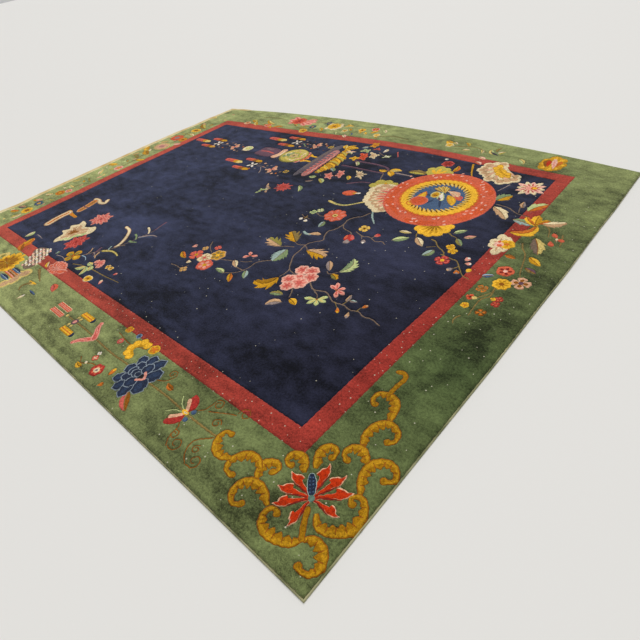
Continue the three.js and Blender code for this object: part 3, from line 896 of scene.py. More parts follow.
for yarn, wide, places in (
        ("twig", 0.8, (-52 - 91j, -46 - 83j, -40 - 76j, -37 - 68j, -35 - 58j, -34 - 49j, -36 - 40j)),
        ("mauve", 1.3, (-35.6 - 40j, -35 - 45j, -34 - 50j)),
        ("twig", 1.4, (-39.6 - 75j, -38 - 71.6j, -35.6 - 70j)),
        ("cream", 1.6, (-40.6 - 50j, -37.4 - 51.4j, -34.4 - 54j)),
        ("ash", 1.5, (-36 - 60j, -32.4 - 56j, -29 - 54j, -25.6 - 53.6j)),
        ("steel", 0.7, (-35.4 - 60.4j, -31.6 - 57j, -28 - 55j)),
        ("sage", 1.5, (-41.4 - 59j, -38.6 - 60j, -35.6 - 62.4j)),
        ("sage", 1.7, (-37.4 - 65.4j, -35 - 65.4j, -32 - 64j)),
        ("teal", 1.1, (-43 - 75j, -41.6 - 77.6j, -39 - 79j)),
        ("mauve", 1.6, (-47.6 - 79.4j, -46.6 - 83j, -45.6 - 86.4j)),
        ("tan", 1.3, (-43.6 - 83j, -42.6 - 86j, -40.4 - 87.4j))):
    shapes += stem(yarn, *places, wide=wide, end=wide * 0.5)
for turn in (0, 90, 180, 270):
    way = toward(turn)
    shapes.append(("gold", petal(-56.6 - 93.6j, -56.6 - 93.6j + way * (6.8 if turn % 180 == 0 else 6), 5)))
    shapes.append(("olive" if turn else "yellow", petal(-56.6 - 93.6j, -56.6 - 93.6j + way * 4.6, 2)))
shapes += blob("rust", (-56.6 - 93.6j, 1.5)) + blob("orange", (-56.6 - 93.6j, 0.8))
for yarn, a, b, c in (
        ("tan", -52.6 - 82.6j, -50.6 - 85j, -49.8 - 88.4j), ("ash", -47.6 - 84.4j, -45 - 85.2j, -42.6 - 87j),
        ("sky", -51 - 90.4j, -47 - 90.2j, -43.6 - 92j), ("ash", -68 - 99j, -62 - 98j, -55 - 99.4j),
        ("ash", -110 - 94.6j, -107 - 94.4j, -101 - 95j), ("bark", -32 - 94.6j, -15 - 94j, -2 - 92.8j),
        ("bark", -47 - 98j, -41 - 96j, -34 - 95j)):
    shapes += stem(yarn, a, b, c, wide=0.8, end=0.4)
shapes += leaf(-116.6 - 93.4j, -116.8 - 100.6j, 4.6, "lime", "cream", rib="sage")
shapes += leaf(-71 - 95.6j, -70.6 - 99j, 2.2, "sage", "teal")
for wide, yarn in ((2.2, "olive"), (1.1, "straw")):
    shapes += stem(yarn, -43 - 80.6j, -38 - 78j, -33 - 77.8j, -29 - 78.6j, wide=wide, end=wide * 0.5)
shapes += petals(
    -32 - 89j, (-36.4 - 88.6j, -34 - 87j, -30.6 - 85.4j, -27.6 - 88.4j, -27 - 91.6j, -31.4 - 91.4j),
    ("pink", 4.2, 1, 0.7), ("rose", 1.8, 0.75, 0.7))
for base, tip in ((-34 - 92j, -39 - 91.6j), (-34 - 93j, -30.6 - 97j), (-36 - 95j, -41.4 - 99.6j),
                  (-35.6 - 95j, -31.6 - 102j)):
    shapes += leaf(base, tip, 3.4, "lime", "straw", rib="sage")
for centre, radius, count, turn, squash in ((-22.6 - 88j, 1.9, 4, 0, 1), (-19.4 - 88j, 1.9, 4, 45, 1),
                                            (-22.6 - 100.6j, 3.6, 5, 18, 0.75)):
    shapes += blossom(centre, radius, count, ("cream", "yellow", "gold", "rust"), turn=turn, squash=squash)
shapes += bud(-11.4 - 89.6j, 2.6, 2, 60, "rose", "pink", "mauve")
shapes += bud(-12.2 - 98.2j, 3.6, 2.4, 120, "pink", "cream", "rose")
knot_pile("lower_left_flowers", shapes)

# ---------------------------------------------------------------------------------------
# Middle of the field: one long flowering branch. Brown twigs carry a cluster of shell pink
# blossoms, lobed autumn leaves, buds and small flowers in coral, red, gold and cream.
# ---------------------------------------------------------------------------------------
shapes = []
for wide, places in (
        (1.0, (74.5 + 25.5j, 73 + 21j, 70 + 18j, 68 + 14j, 69 + 9j, 68 + 3j, 66 + 0j, 67.5 - 5j, 69.5 - 8.5j,
               66.5 - 12j, 64.5 - 16j, 65.5 - 22j, 66 - 27j, 69 - 32j, 73 - 37j, 79 - 39j)),
        (0.8, (69 + 9j, 72 + 6j, 78 + 4.5j, 80 + 2j)), (0.8, (73 - 37j, 73.4 - 40j, 73 - 44j)),
        (0.8, (64.5 - 16.5j, 61 - 18j, 57.5 - 17.5j)), (0.8, (64.5 - 17j, 67 - 18.4j, 69 - 20j)),
        (0.8, (60 - 21j, 56 - 22.4j, 53 - 24.5j)),
        (0.8, (58.5 - 36j, 53 - 41j, 52.5 - 47j, 50 - 53j, 44 - 56.5j)),
        (0.8, (52.5 - 50j, 45 - 49.5j, 40 - 47j, 33 - 49j, 30 - 48j)),
        (0.7, (49.5 - 42j, 47 - 44j, 44 - 45j)), (0.7, (13 - 40j, 16 - 44j, 19 - 46j, 22 - 47.5j)),
        (0.7, (10 - 66.5j, 14 - 66j, 19 - 66j, 20 - 62j)), (0.7, (46 + 12j, 50 + 10.5j, 54 + 11j)),
        (0.7, (39 + 7j, 42 + 5.5j, 47 + 5j)),
        (0.9, (90 - 40j, 95 - 43j, 101 - 41.5j, 105 - 43j, 109 - 45j, 115 - 44.5j, 119 - 45.5j, 123 - 44.5j,
               127 - 46j, 131 - 45.5j, 136 - 47j)), (0.8, (86 - 48j, 87.4 - 50j, 89 - 53j)),
        (0.7, (95 - 43j, 99 - 45j, 101 - 47j)), (0.7, (91 - 29j, 93 - 30j, 96 - 27j)),
        (0.6, (114 - 44j, 114.4 - 41j, 116 - 39.6j)), (0.6, (122 - 44.6j, 122.4 - 42j)),
        (0.6, (110 - 45j, 113 - 47j)),
        (0.8, (80 + 6.5j, 86 + 4.5j, 90 + 5.5j, 95 + 3.5j, 98 + 5j, 101 + 3.5j)),
        (0.7, (85 + 5j, 87.4 + 2j)), (0.7, (91 + 5.4j, 92 + 7j)), (0.7, (109.5 + 19.5j, 111 + 16j)),
        (0.9, (119 + 18j, 122 + 17j, 125 + 14j, 130 + 11j, 132.5 + 6j)),
        (0.8, (130 + 9j, 135 + 8j, 139 + 7.5j, 141 + 5.5j, 144 + 2j, 147 - 1j, 150.5 - 2j)),
        (0.8, (141 + 2j, 142 + 4j)), (0.7, (123 + 27j, 126 + 25.4j, 129 + 24.5j)),
        (0.6, (120.6 + 11j, 124 + 13.4j))):
    shapes += stem("twig" if places[0].real < 100 else "bark", *places, wide=wide * 0.9, end=wide * 0.6)
# shell pink cluster: each blossom has a frilled edge and a coral heart
for centre, radius in ((82.4 - 39.6j, 3.4), (79.4 - 34.2j, 4.1), (84.4 - 32.8j, 4.3), (87.2 - 36.8j, 4.1),
                       (78.8 - 43.2j, 4.1), (85.4 - 42.8j, 4.7), (81.8 - 47.4j, 3.9)):
    shapes += blossom(centre, radius, 7, ("shell", "pink", "blush", "rose"), turn=centre.real * 7, heart=0.3)
    for turn in range(20, 380, 72):
        shapes.append(("rose", petal(centre, centre + 2.4 * toward(turn), 0.8)))
# leaves: base, tip, width, the two tones, and for the lobed ones bend, teeth and how deep these are cut
for base, tip, wide, one, other, *lobes in (
        (57.5 - 17j, 47.5 - 10j, 9, "gold", "bark", 0, 4, 0.6),
        (53 - 24j, 40.5 - 21.5j, 9, "tan", "olive", 0, 4, 0.6),
        (58.5 - 24.5j, 59.5 - 36.5j, 9.6, "sage", "teal", 0, 6, 0.35),
        (68.5 - 20j, 82 - 20j, 9.4, "tan", "gold", 0.04, 4, 0.6),
        (73 - 44.5j, 64 - 53j, 9, "gold", "old gold", 0.3, 4, 0.5),
        (96.5 - 26.5j, 95.5 - 14j, 6.6, "sage", "lime", -0.22, 7, 0.5),
        (86 - 21.5j, 91.5 - 28j, 3.6, "tan", "ash"),
        (94 - 29.6j, 99.5 - 32j, 4, "gold", "olive", 0.1, 3, 0.3),
        (85 - 53.5j, 78.4 - 56j, 4, "sage", "olive", -0.1, 3, 0.3),
        (90 - 54j, 95.6 - 56j, 3.6, "yellow", "gold", 0.1, 0, 0),
        (88.5 - 57.6j, 83 - 63.2j, 4.2, "ash", "tan", -0.15, 0, 0),
        (40 - 45.8j, 46 - 50j, 3.2, "cream", "tan"), (53.4 - 49j, 57.6 - 54.6j, 3.2, "teal", "sage"),
        (47.8 - 55j, 53 - 60.6j, 3, "orange", "gold"),
        (44 - 57j, 36.8 - 56.4j, 3.2, "sage", "lime", -0.1, 0, 0),
        (57 + 6.8j, 58.2 + 0.4j, 3.4, "sage", "teal"),
        (5 - 55j, 12.6 - 58.6j, 3.2, "orange", "gold", -0.1, 0, 0),
        (101.8 + 8.4j, 108.4 + 14.4j, 4.2, "lime", "sage"),
        (111.4 + 16.4j, 118.4 + 10.4j, 3.8, "cream", "tan"),
        (125 + 10.4j, 122.4 + 4j, 4, "sage", "teal", 0.1, 0, 0),
        (100 + 17.4j, 107 + 18.6j, 2.6, "cream", "straw"), (125.4 + 27.6j, 130 + 33j, 3, "lime", "sage"),
        (132 + 26j, 136.6 + 30j, 2.8, "pink", "tan"), (129.4 + 24j, 134.6 + 19j, 3, "sage", "olive"),
        (114 - 42j, 113.2 - 37j, 2, "tan", "ash"), (115 - 40.8j, 118.6 - 39.6j, 1.8, "teal", "ash"),
        (43 + 7.4j, 44 + 3j, 2, "bark", "brown")):
    bend, teeth, cut = lobes or (0, 0, 0)
    rib = "brown" if "gold" in (one, other) else "twig"
    shapes += leaf(base, tip, wide, one, other, rib, bend, teeth, cut=cut)
# curled leaf with a pale tail
shapes += stem("teal", 54 - 7j, 56.6 - 8j, 59 - 7.4j, wide=1.5, end=1.8)
shapes.append(("tan", petal(57.6 - 8j, 64.8 - 4.6j, 3, bend=0.1)))
# small round flowers: centre, radius, petals, yarns
for centre, radius, count, yarns, turn in (
        (82 + 11j, 3.2, 4, ("yellow", "straw", "gold", "brown"), 45),
        (46 + 15.4j, 2.2, 4, ("lime", "lime", "cream", "sage"), 0),
        (43.4 + 12j, 2.4, 4, ("lime", "lime", "sage", "sage"), 30),
        (27.6 - 47.6j, 5, 6, ("tan", "gold", "bark", "yellow"), 15),
        (22.6 - 53j, 4.4, 6, ("cream", "cream", "tan", "rose"), 0),
        (15.4 - 53.4j, 4.4, 4, ("rose", "coral", "rose", "gold"), 90),
        (28.4 - 57.4j, 5, 5, ("rose", "coral", "pink", "gold"), 30),
        (21.6 - 42.6j, 2.3, 4, ("rose", "rose", "coral", "rose"), 20), (15 - 46.6j, 2.1, 4, OAT, 0),
        (20.8 - 66j, 2.4, 4, OAT, 0), (133 + 5j, 3.8, 4, ("red", "rose", "red", "yellow"), 0),
        (130.6 + 16.4j, 2.4, 4, PRIMROSE, 0), (133.4 + 13.6j, 2.4, 4, PRIMROSE, 40)):
    shapes += blossom(centre, radius, count, yarns, turn=turn, heart=0.26)
for k in range(8):
    way = toward(22 + 45 * k)
    shapes += [("coral", petal(58 + 14.6j + way, 58 + 14.6j + way * 6.8, 4.4, full=0.66, blunt=0.55)),
               ("blush", petal(58 + 14.6j + way * 2.6, 58 + 14.6j + way * 6.2, 1.5))]
shapes += blob("straw", (58 + 14.6j, 1.6)) + blob("rust", (58 + 14.6j, 0.8))
# stars of narrow petals
for heart, yarns, tips in (
        (104.8 - 37.8j, ("pink", "rose"),
         (101.6 - 33j, 107.6 - 34.4j, 110.4 - 38.6j, 108.2 - 42.4j, 99.6 - 36.2j)),
        (101.4 - 47.6j, ("lime", "straw"),
         (104.8 - 43.4j, 106.6 - 47j, 104.2 - 51.4j, 99.4 - 52.4j, 95.4 - 49.8j)),
        (44.6 - 38.8j, ("pink", "rose"), (42 - 36j, 48.8 - 37j, 42 - 42j))):
    shapes += petals(heart, tips, (yarns[0], 2.3, 1, 0.62), (yarns[1], 0.8, 0.75, 0.62))
    shapes += blob("rust", (heart, 0.6))
# buds: centre, length, width, heading, yarns
for centre, long, wide, turn, body, tip in (
        (42 + 3j, 2.6, 2.4, 250, "ivory", "ivory"), (46 + 2.5j, 2.6, 2.6, 290, "ivory", "cream"),
        (89.5 + 0.5j, 3.4, 2.6, 300, "ash", "ivory"), (92.5 + 8.6j, 3.6, 3.2, 70, "rose", "red"),
        (7 - 48j, 3.6, 2.8, 60, "pink", "ash"), (17.5 - 60j, 3, 2.6, 200, "cream", "tan"),
        (114.6 - 48.6j, 3.6, 1.9, 310, "orange", "yellow"), (120.4 - 48.8j, 4, 1.9, 290, "tan", "ash"),
        (123.4 - 40.4j, 3, 2, 70, "orange", "tan"), (142.6 + 11j, 3.2, 2.8, 80, "pink", "ivory"),
        (144.6 + 8j, 2.8, 2.4, 20, "pink", "ivory"), (139.6 + 0.4j, 3, 2.8, 240, "ash", "tan"),
        (143.4 + 0j, 3, 2.8, 300, "orange", "ash"), (147.3 + 3.5j, 3.2, 2.6, 90, "yellow", "yellow")):
    shapes += bud(centre, long, wide, turn, body, tip, "twig")
shapes += [("red", petal(78.6 + 3j, 82.4 - 3j, 6)), ("coral", petal(78 + 2j, 79 - 2j, 1.8)),
           ("rose", petal(80 + 3.4j, 83.6 - 1j, 2)), ("ash", petal(80.6 - 1.6j, 82.6 - 5.4j, 3.8))]
knot_pile("middle_branch", shapes)

# ---------------------------------------------------------------------------------------
# Medallion: a coral round with a toothed yellow ring and a blue heart where a small bird
# sits by a red fruit. Cream peonies, yellow blooms and leaves stand out from behind it.
# ---------------------------------------------------------------------------------------
def scalloped(yarn, body, *rounds):
    """A petal mass: a plain body with round lobes along its free edge."""
    return [(yarn, smooth(body, closed=True))] + blob(yarn, *rounds)


shapes = []
for places, wide, yarn in (
        ((43 + 26.5j, 50 + 25.5j, 56 + 27j, 62 + 33j, 66 + 36.5j), 1.9, "straw"),
        ((47 + 25.8j, 54 + 26.4j, 61 + 32j), 0.6, "sage"), ((74 + 29j, 78 + 23j, 83.5 + 17.5j), 1.3, "teal"),
        ((95 + 101j, 99 + 92j, 103 + 85j), 1.3, "gold"),
        ((130 + 62.5j, 137 + 61.5j, 143 + 58j, 150 + 57j), 0.8, "twig"),
        ((126 + 85j, 125 + 81j, 123.6 + 76j), 0.8, "ash"),
        ((118 + 28j, 122 + 27.4j, 126 + 25j), 0.8, "bark"), ((109 + 22j, 110 + 17.5j), 0.8, "bark"),
        ((141.6 + 70j, 142 + 64j, 143.6 + 59j), 0.7, "twig")):
    shapes += stem(yarn, *places, wide=wide, end=wide * 0.6)
# yellow and citron blooms behind the round
shapes += scalloped("citron", (74 + 86j, 80 + 89j, 88 + 85j, 90 + 80j, 78 + 78j), (75.6 + 86j, 2.8),
                    (79.6 + 89.4j, 2.9), (84 + 88.6j, 2.9), (87.6 + 85.6j, 2.8), (76.6 + 82j, 2.8))
shapes += petals(82 + 80j, (76 + 86j, 80 + 89j, 85 + 87.6j), ("yellow", 2.2, 1, 0.62))
shapes += leaf(76 + 79j, 64 + 77.4j, 6.4, "citron", "bark", bend=-0.1, teeth=3)
shapes += scalloped("citron", (56 + 58j, 60 + 61j, 67 + 59j, 68 + 52j, 58 + 52j), (55 + 54j, 3),
                    (56.4 + 59j, 3.1), (61 + 60.6j, 3), (66 + 59.4j, 2.8))
shapes += petals(63 + 53j, (56 + 56j, 60 + 60j, 65 + 59j), ("gold", 2, 1, 0.62))
shapes += scalloped(
    "yellow", (106 + 27j, 110 + 22j, 118 + 22.6j, 121 + 32j, 110 + 32j), (107.6 + 24.4j, 2.8),
    (111 + 22.2j, 2.7), (115 + 21.6j, 2.7), (118.4 + 24j, 2.9), (120.4 + 28j, 2.7), (120.6 + 32j, 2.6))
shapes += petals(
    113 + 31j, (107 + 25j, 109.4 + 22.8j, 112.4 + 21.4j, 115.6 + 21.2j, 118.2 + 23.6j, 119.6 + 27j),
    ("gold", 1.5, 1, 0.62), ("old gold", 1.0, 0.7, 0.62))
# fan peony: cream lobes, peach within, coral and sage veins running to its foot behind the round
fan = ((60.6 + 54j, 3.6), (59 + 49.6j, 3.5), (60.6 + 45j, 3.4), (62 + 41j, 3.4), (63.6 + 37.4j, 3.4),
       (67.6 + 34.8j, 3.4), (71.6 + 32.6j, 3.4), (75.6 + 30.8j, 3.5), (78.4 + 32.6j, 3.2))
fan_foot = 82 + 51j
shapes += scalloped("cream", (59 + 56j, 60 + 46j, 66 + 37j, 78 + 32j, 82 + 38j, 70 + 58j), *fan)
shapes += scalloped("tan", (63 + 54j, 64 + 46j, 69 + 39j, 77 + 36j, 84 + 42j, 72 + 58j),
                    *((z + 2.1 + 1.6j, r - 0.9) for z, r in fan))
for k, (lobe, _) in enumerate(fan):
    reach = lobe + (fan_foot - lobe) * 0.06
    shapes.append(("peach", petal(fan_foot, reach, 3.2, full=0.8)))
    shapes.append(("cream", petal(fan_foot + (reach - fan_foot) * 0.3, reach, 1.8, full=0.85)))
    vein = "rose" if k % 2 else "coral"
    shapes.append((vein, petal(fan_foot, reach + (fan_foot - reach) * 0.1, 1.5, full=0.7)))
    notch = (lobe + fan[min(k + 1, 8)][0]) / 2
    shapes.append(("sage" if k % 3 == 1 else "tan", petal(fan_foot, notch, 0.9, full=0.6)))
# the round itself, with small pale petals strewn by its two edges
round_heart, ring_heart = 98.7 + 56.2j, 98.4 + 57j
turn = np.exp(2j * np.pi * np.arange(240) / 240)
shapes += [("rose", round_heart + turn * 30.6), ("coral", round_heart + turn * 30.2)]
for start, end, out in ((150, 250, 26), (262, 300, 27), (320, 372, 26.4), (30, 66, 27), (92, 128, 25.4)):
    k = np.arange(6)
    arc = round_heart + (out + (k % 2)) * toward(start + (end - start) * k / 5)
    shapes.append(("vermilion", ribbon(arc, 1, 4.5, 3, 5, 3, 1)))
for place, way in (
        (92 + 84j, 150), (103 + 79.4j, 120), (107 + 77j, 120), (118 + 72j, 60), (117 + 67.4j, 70),
        (119.6 + 66j, 70), (122 + 48j, 20), (119.4 + 46j, 20), (111 + 36.4j, 110), (108 + 35j, 20),
        (102 + 28.6j, 80), (99 + 27.8j, 10), (92 + 33.4j, 100), (89 + 35.4j, 100), (76 + 46j, 140),
        (77 + 48.6j, 30), (73 + 62j, 90), (72 + 57j, 90), (71 + 70j, 60), (84 + 76.6j, 80),
        (87 + 78.4j, 140), (96 + 84j, 30), (125 + 58j, 70), (126 + 53j, 90), (78 + 36j, 130),
        (81 + 38.6j, 150), (116 + 32j, 40), (70 + 51j, 80), (112 + 79j, 40), (114 + 76j, 60)):
    for start, heading in ((place, way), (place + 2.6 * toward(way + 75), way + 40)):
        shapes.append(("pink", petal(start, start + 2.3 * toward(heading), 1.4)))
        shapes.append(("shell", petal(start, start + 1.8 * toward(heading), 0.7)))
for radius, ripple, lobes, yarn in (
        (22.8, 0.5, 28, "vermilion"), (21.7, 0.3, 38, "orange"), (20.8, 0.3, 38, "yellow"),
        (17.8, 0.3, 38, "gold"), (17.2, 0.0, 1, "brown"), (15.2, 0.3, 38, "steel")):
    shapes.append((yarn, ring_heart + turn * (radius + ripple * np.cos(lobes * np.angle(turn)))))
for k in range(38):
    way = np.exp(2j * np.pi * (k + 0.25) / 38)
    tooth = ribbon((ring_heart + way * 18.2, ring_heart + way * 16.2 * np.exp(-0.05j),
                    ring_heart + way * 14.4 * np.exp(-0.14j)), 2.0, 1.5, 0.8)
    shapes += [("yellow", tooth),
               ("straw", petal(ring_heart + way * 17.2, ring_heart + way * 14.6 * np.exp(-0.13j), 0.8))]
# bird: gold tail, pale green body and neck, a peach and a gold wing, gold head hanging down
shapes += [("dusk", petal(ring_heart + 13 * np.exp(1j * w), ring_heart + 4 * np.exp(1j * (w + 0.2)), 1.6))
           for w in (0.5, 1.2, 2.2, 3.1, 4.4, 5.3)]
for k, tip in enumerate((90.8 + 65.6j, 91.8 + 67.8j, 93.6 + 69.4j, 95.8 + 70j, 98 + 69j)):
    shapes.append(("gold", petal(99.6 + 62j, tip, 2.3, full=0.7)))
    shapes.append(("straw", petal(99.6 + 62j, tip, 1.1, full=0.7)))
    shapes.append(("brown", petal(99.6 + 62j, tip + np.exp(1j * (k + 3.4)), 0.4)))
shapes.append(("lime", petal(97.6 + 63.4j, 102.2 + 53.4j, 4.2, bend=-0.08)))
shapes.append(("ivory", petal(98 + 62.6j, 102 + 54.4j, 2.4, bend=-0.08)))
shapes += [("rose", petal(104 + 62j, 111.4 + 58.4j, 4.4, bend=0.1)),
           ("peach", petal(99.4 + 65j, 108.4 + 61j, 5.2, bend=0.12))]
shapes += [("coral", petal(106 + 61.6j, 110.6 + 58.8j, 1.6)),
           ("cream", ribbon((100 + 64.6j, 104 + 64j, 107.6 + 61.6j), 0.6, 0.4))]
wing = np.array([102 + 61j, 110.2 + 51.4j])
shapes += [("gold", petal(*wing, 4.8, bend=0.06, full=0.5)),
           ("yellow", petal(*wing, 3.4, bend=0.06, full=0.5))]
for share in (0.18, 0.3, 0.42, 0.54, 0.66, 0.78):
    rib = wing[0] + (wing[1] - wing[0]) * share
    shapes.append(("brown", ribbon((rib + 0.8 + 1.2j, rib - 1.4 - 0.9j), 0.3, 0.3)))
shapes += [("straw", disc(95.4 + 58.6j, 3.6, 0.74, 100)), ("gold", disc(95.5 + 58.4j, 2.8, 0.7, 100)),
           ("rust", disc(95.6 + 58j, 1.2, 0.7)), ("mauve", petal(98.4 + 57.4j, 101 + 53.4j, 1.6))]
# fruit: red, lit at its rim, with a yellow flame above and a yellow cup below
shapes += [("orange", petal(90 + 49j, 88.6 + 60j, 5, full=0.4)),
           ("yellow", petal(90 + 50j, 88.7 + 59j, 3.6, full=0.4)),
           ("orange", petal(92 + 47.6j, 85.6 + 43.2j, 5.6)), ("yellow", petal(92 + 47.6j, 86.2 + 43.6j, 4)),
           ("blush", disc(90.8 + 48.8j, 5.2)), ("coral", disc(90.9 + 48.8j, 4.8)),
           ("vermilion", disc(90.5 + 49j, 3.8)),
           ("orange", ribbon((86.6 + 46.8j, 88.6 + 44.6j, 92 + 43.4j), 1.1, 0.6))]
# cream peony across the red line, its lobes curling round a yellow heart
big = ((103.6 + 104j, 3.0), (103.4 + 100j, 2.7), (102.8 + 96.2j, 2.8), (106 + 93j, 2.8),
       (109.4 + 90.4j, 2.6), (112.2 + 87j, 2.9), (116.4 + 87.6j, 2.4), (119.8 + 85.8j, 2.9),
       (123 + 88j, 2.8), (126 + 91.2j, 3.0), (125 + 95j, 2.6), (111 + 107.6j, 2.9), (107.4 + 106.6j, 2.6),
       (113 + 105.6j, 2.4))
big_heart = 113 + 100j
shapes += scalloped(
    "cream", (103 + 103j, 105 + 95j, 112 + 89j, 122 + 89j, 125 + 94j, 119 + 100j, 112 + 106j), *big)
shapes += scalloped(
    "tan", (105 + 103j, 106 + 96j, 113 + 90.4j, 121 + 90.4j, 123.6 + 94j, 117 + 99j, 111 + 105j),
    *((z * 0.93 + (113 + 99j) * 0.07, r - 0.7) for z, r in big[:12]))
for k, (lobe, _) in enumerate(big[:12]):
    yarn = "cream" if k % 2 else "peach"
    shapes.append((yarn, petal(big_heart, lobe * 0.84 + big_heart * 0.16, 2.6, full=0.7)))
    gap = (lobe + big[k + 1][0]) / 2
    foot, tip = gap * 0.62 + big_heart * 0.38, gap * 0.98 + big_heart * 0.02
    shapes.append(("bark", petal(foot, tip, 0.5, full=0.7)))
for tip in (109.4 + 106.4j, 107.6 + 102.4j, 109.6 + 98.6j, 111.8 + 95.2j, 115 + 92.4j, 118.8 + 90.8j,
            122.4 + 92.4j, 121.4 + 95.6j, 117.8 + 97.8j, 115.4 + 101j):
    shapes.append(("gold", petal(114 + 98j, tip, 3.8, full=0.7, blunt=0.5)))
    shapes.append(("yellow", petal(114 + 98j, tip * 0.93 + (114 + 98j) * 0.07, 3.0, full=0.7, blunt=0.5)))
shapes += stem("gold", 111.6 + 103j, 114 + 98j, 120 + 94j, wide=1.2)
# pink star flower, red flower, gold leaf, small leaves
star = 137.6 + 85.4j
for k in range(12):
    way = np.exp(2j * np.pi * (k + 0.3) / 12)
    tip = star + way * (7.4 + 0.8 * (k % 3))
    shapes.append(("shell" if k % 2 else "cream", petal(star, tip, 3.2, full=0.5)))
    shapes.append(("rose", petal(star, star + way * 5.6, 1.2, full=0.5)))
    shapes.append(("dark red", petal(star, star + way * 4.4, 0.5, full=0.5)))
shapes += [("pink", disc(star, 2.6)), ("orange", disc(star + 1.6 + 0.6j, 1.8)),
           ("yellow", disc(star + 1.8 + 0.8j, 1.1))]
shapes += blossom(80.4 + 96.4j, 4.2, 6, ("rose", "red", "dark red", "dark red"), turn=30)
shapes += leaf(89 + 87.6j, 87.8 + 96.4j, 3.6, "gold", "orange", bend=-0.12)
for base, tip, wide, one, other, teeth in (
        (128 + 66j, 133 + 74.6j, 8, "sage", "gold", 4), (129.6 + 59.6j, 141 + 50j, 6.4, "cream", "tan", 3),
        (143.4 + 64.4j, 141.4 + 70.4j, 3, "tan", "ash", 0)):
    shapes += leaf(base, tip, wide, one, other, "brown", 0.08, teeth)
knot_pile("bird_medallion", shapes)

# ---------------------------------------------------------------------------------------
# Right border: field flowers that spill over the red line, then a loose faded spray of
# small flowers, each its own shape, on rust tendrils.
# ---------------------------------------------------------------------------------------
shapes = []
for places in ((157.5 + 34j, 159.5 + 30j, 162.5 + 26j, 164.5 + 20j, 166.5 + 13j, 168.4 + 9j),
               (162.8 - 2j, 163.8 - 8j, 161.6 - 12j, 161.8 - 18j, 162.4 - 23j),
               (159.6 - 25j, 158.8 - 28j, 159.8 - 30.5j), (157.6 + 50j, 158.6 + 45j, 158 + 40j),
               (170 + 48j, 171.6 + 43j, 172.4 + 38.6j), (160 + 53j, 163 + 50j, 165 + 44j),
               (159.6 - 12j, 161.4 - 9j, 163 - 6j)):
    shapes += stem("bark", *places, wide=0.9, end=0.5)
for base, tip, wide, one, other, bend, teeth in (
        (147 + 62j, 153 + 72.4j, 7.4, "lime", "orange", 0.1, 3),
        (148 + 40.6j, 157 + 51j, 6.4, "orange", "yellow", -0.3, 3),
        (160.4 + 40.6j, 167 + 28j, 7.2, "straw", "twig", 0.05, 4),
        (155 + 22j, 160.4 + 21.4j, 2.8, "rust", "orange", 0, 0),
        (165 + 25j, 171.8 + 20.4j, 3.8, "yellow", "gold", 0, 0),
        (154 + 2.6j, 158.4 + 5.6j, 2.8, "sky", "steel", 0, 0),
        (158 + 53.6j, 167.4 + 59.6j, 6, "cream", "tan", -0.1, 4),
        (144 + 52j, 154.6 + 50j, 6, "sage", "teal", 0.05, 3),
        (156 + 50j, 153.6 + 60.6j, 6, "yellow", "gold", 0.05, 2),
        (155.4 + 51j, 148.6 + 57.4j, 3.6, "yellow", "orange", 0.1, 2),
        (156 + 52j, 160.4 + 58j, 3.4, "gold", "orange", 0.1, 2),
        (167 + 16.6j, 172.6 + 14.6j, 3.2, "mauve", "bark", 0, 0)):
    shapes += leaf(base, tip, wide, one, other, "rust", bend, teeth)
# open rose
shapes += petals(149 + 29j,
    (153 + 34j, 146.6 + 37.4j, 150.6 + 36.4j, 143.6 + 30.8j, 145 + 25j, 150.6 + 19.4j, 153.6 + 23.6j),
    ("cream", 4.6, 1, 0.68), ("tan", 1.4, 2 / 3, 0.62))
shapes += blossom(152 + 30j, 3.9, 5, ("yellow", "yellow", "gold", "orange"))
shapes += blob("shell", (148.8 + 28.4j, 2.2))
shapes += blob("coral", (149.4 + 27.6j, 1.2), (148 + 30.6j, 0.9))
for centre, radius, count, yarns, turn in (
        (161 + 10.5j, 4, 5, ("coral", "coral", "dark red", "shell"), 90),
        (170.3 + 5.6j, 4.3, 4, ("peach", "peach", "rust", "mauve"), 100),
        (164 + 1.4j, 4.2, 8, ("yellow", "yellow", "gold", "rust"), 0),
        (158.6 - 5.2j, 2.9, 4, ("bark", "orange", "bark", "rust"), 45),
        (157.2 - 12.4j, 2, 4, ("coral", "coral", "scarlet", "black"), 0),
        (159 - 12.2j, 1.2, 4, ("straw", "straw", "straw", "straw"), 0),
        (158 - 18.2j, 1.9, 5, ("yellow", "yellow", "gold", "orange"), 0),
        (165.6 - 19.2j, 2.4, 4, ("rust", "rust", "orange", "bark"), 30),
        (167.8 - 8.4j, 1.9, 4, ("red", "red", "coral", "red"), 0),
        (168 - 11.8j, 2, 4, ("red", "red", "coral", "red"), 40), (165.8 - 9.4j, 1.2, 4, PRIMROSE, 0)):
    shapes += blossom(centre, radius, count, yarns, turn=turn, heart=0.26)
for base, tip in ((169 + 44.4j, 165.6 + 48j), (169 + 44.4j, 172.6 + 43j), (167 + 41.4j, 169.4 + 37j)):
    shapes.append(("coral", petal(base, tip, 2.6)))
shapes += bud(169 + 43.6j, 2.4, 1.2, 110, "cream", "cream", "coral")
knot_pile("right_border_flowers", shapes)

# ---------------------------------------------------------------------------------------
# Upper middle of the field: a tall basket in slate and dusty rose with a fringe of yellow
# leaves, flowers falling from it both ways, and two mauve rods tied with a yellow bow.
# ---------------------------------------------------------------------------------------
shaded = (-9 + 92j, -4 + 96j, -2.6 + 80j, -3 + 60j, -3.6 + 45j, -7 + 46j, -9 + 60j, -10 + 78j)
lit = (-5 + 86j, 0 + 86j, 2 + 76j, 3 + 62j, 4 + 48j, 0.4 + 45.6j, -2.6 + 52j, -4 + 70j)
shapes = [("slate", smooth(shaded, closed=True)), ("dusty rose", smooth(lit, closed=True))]
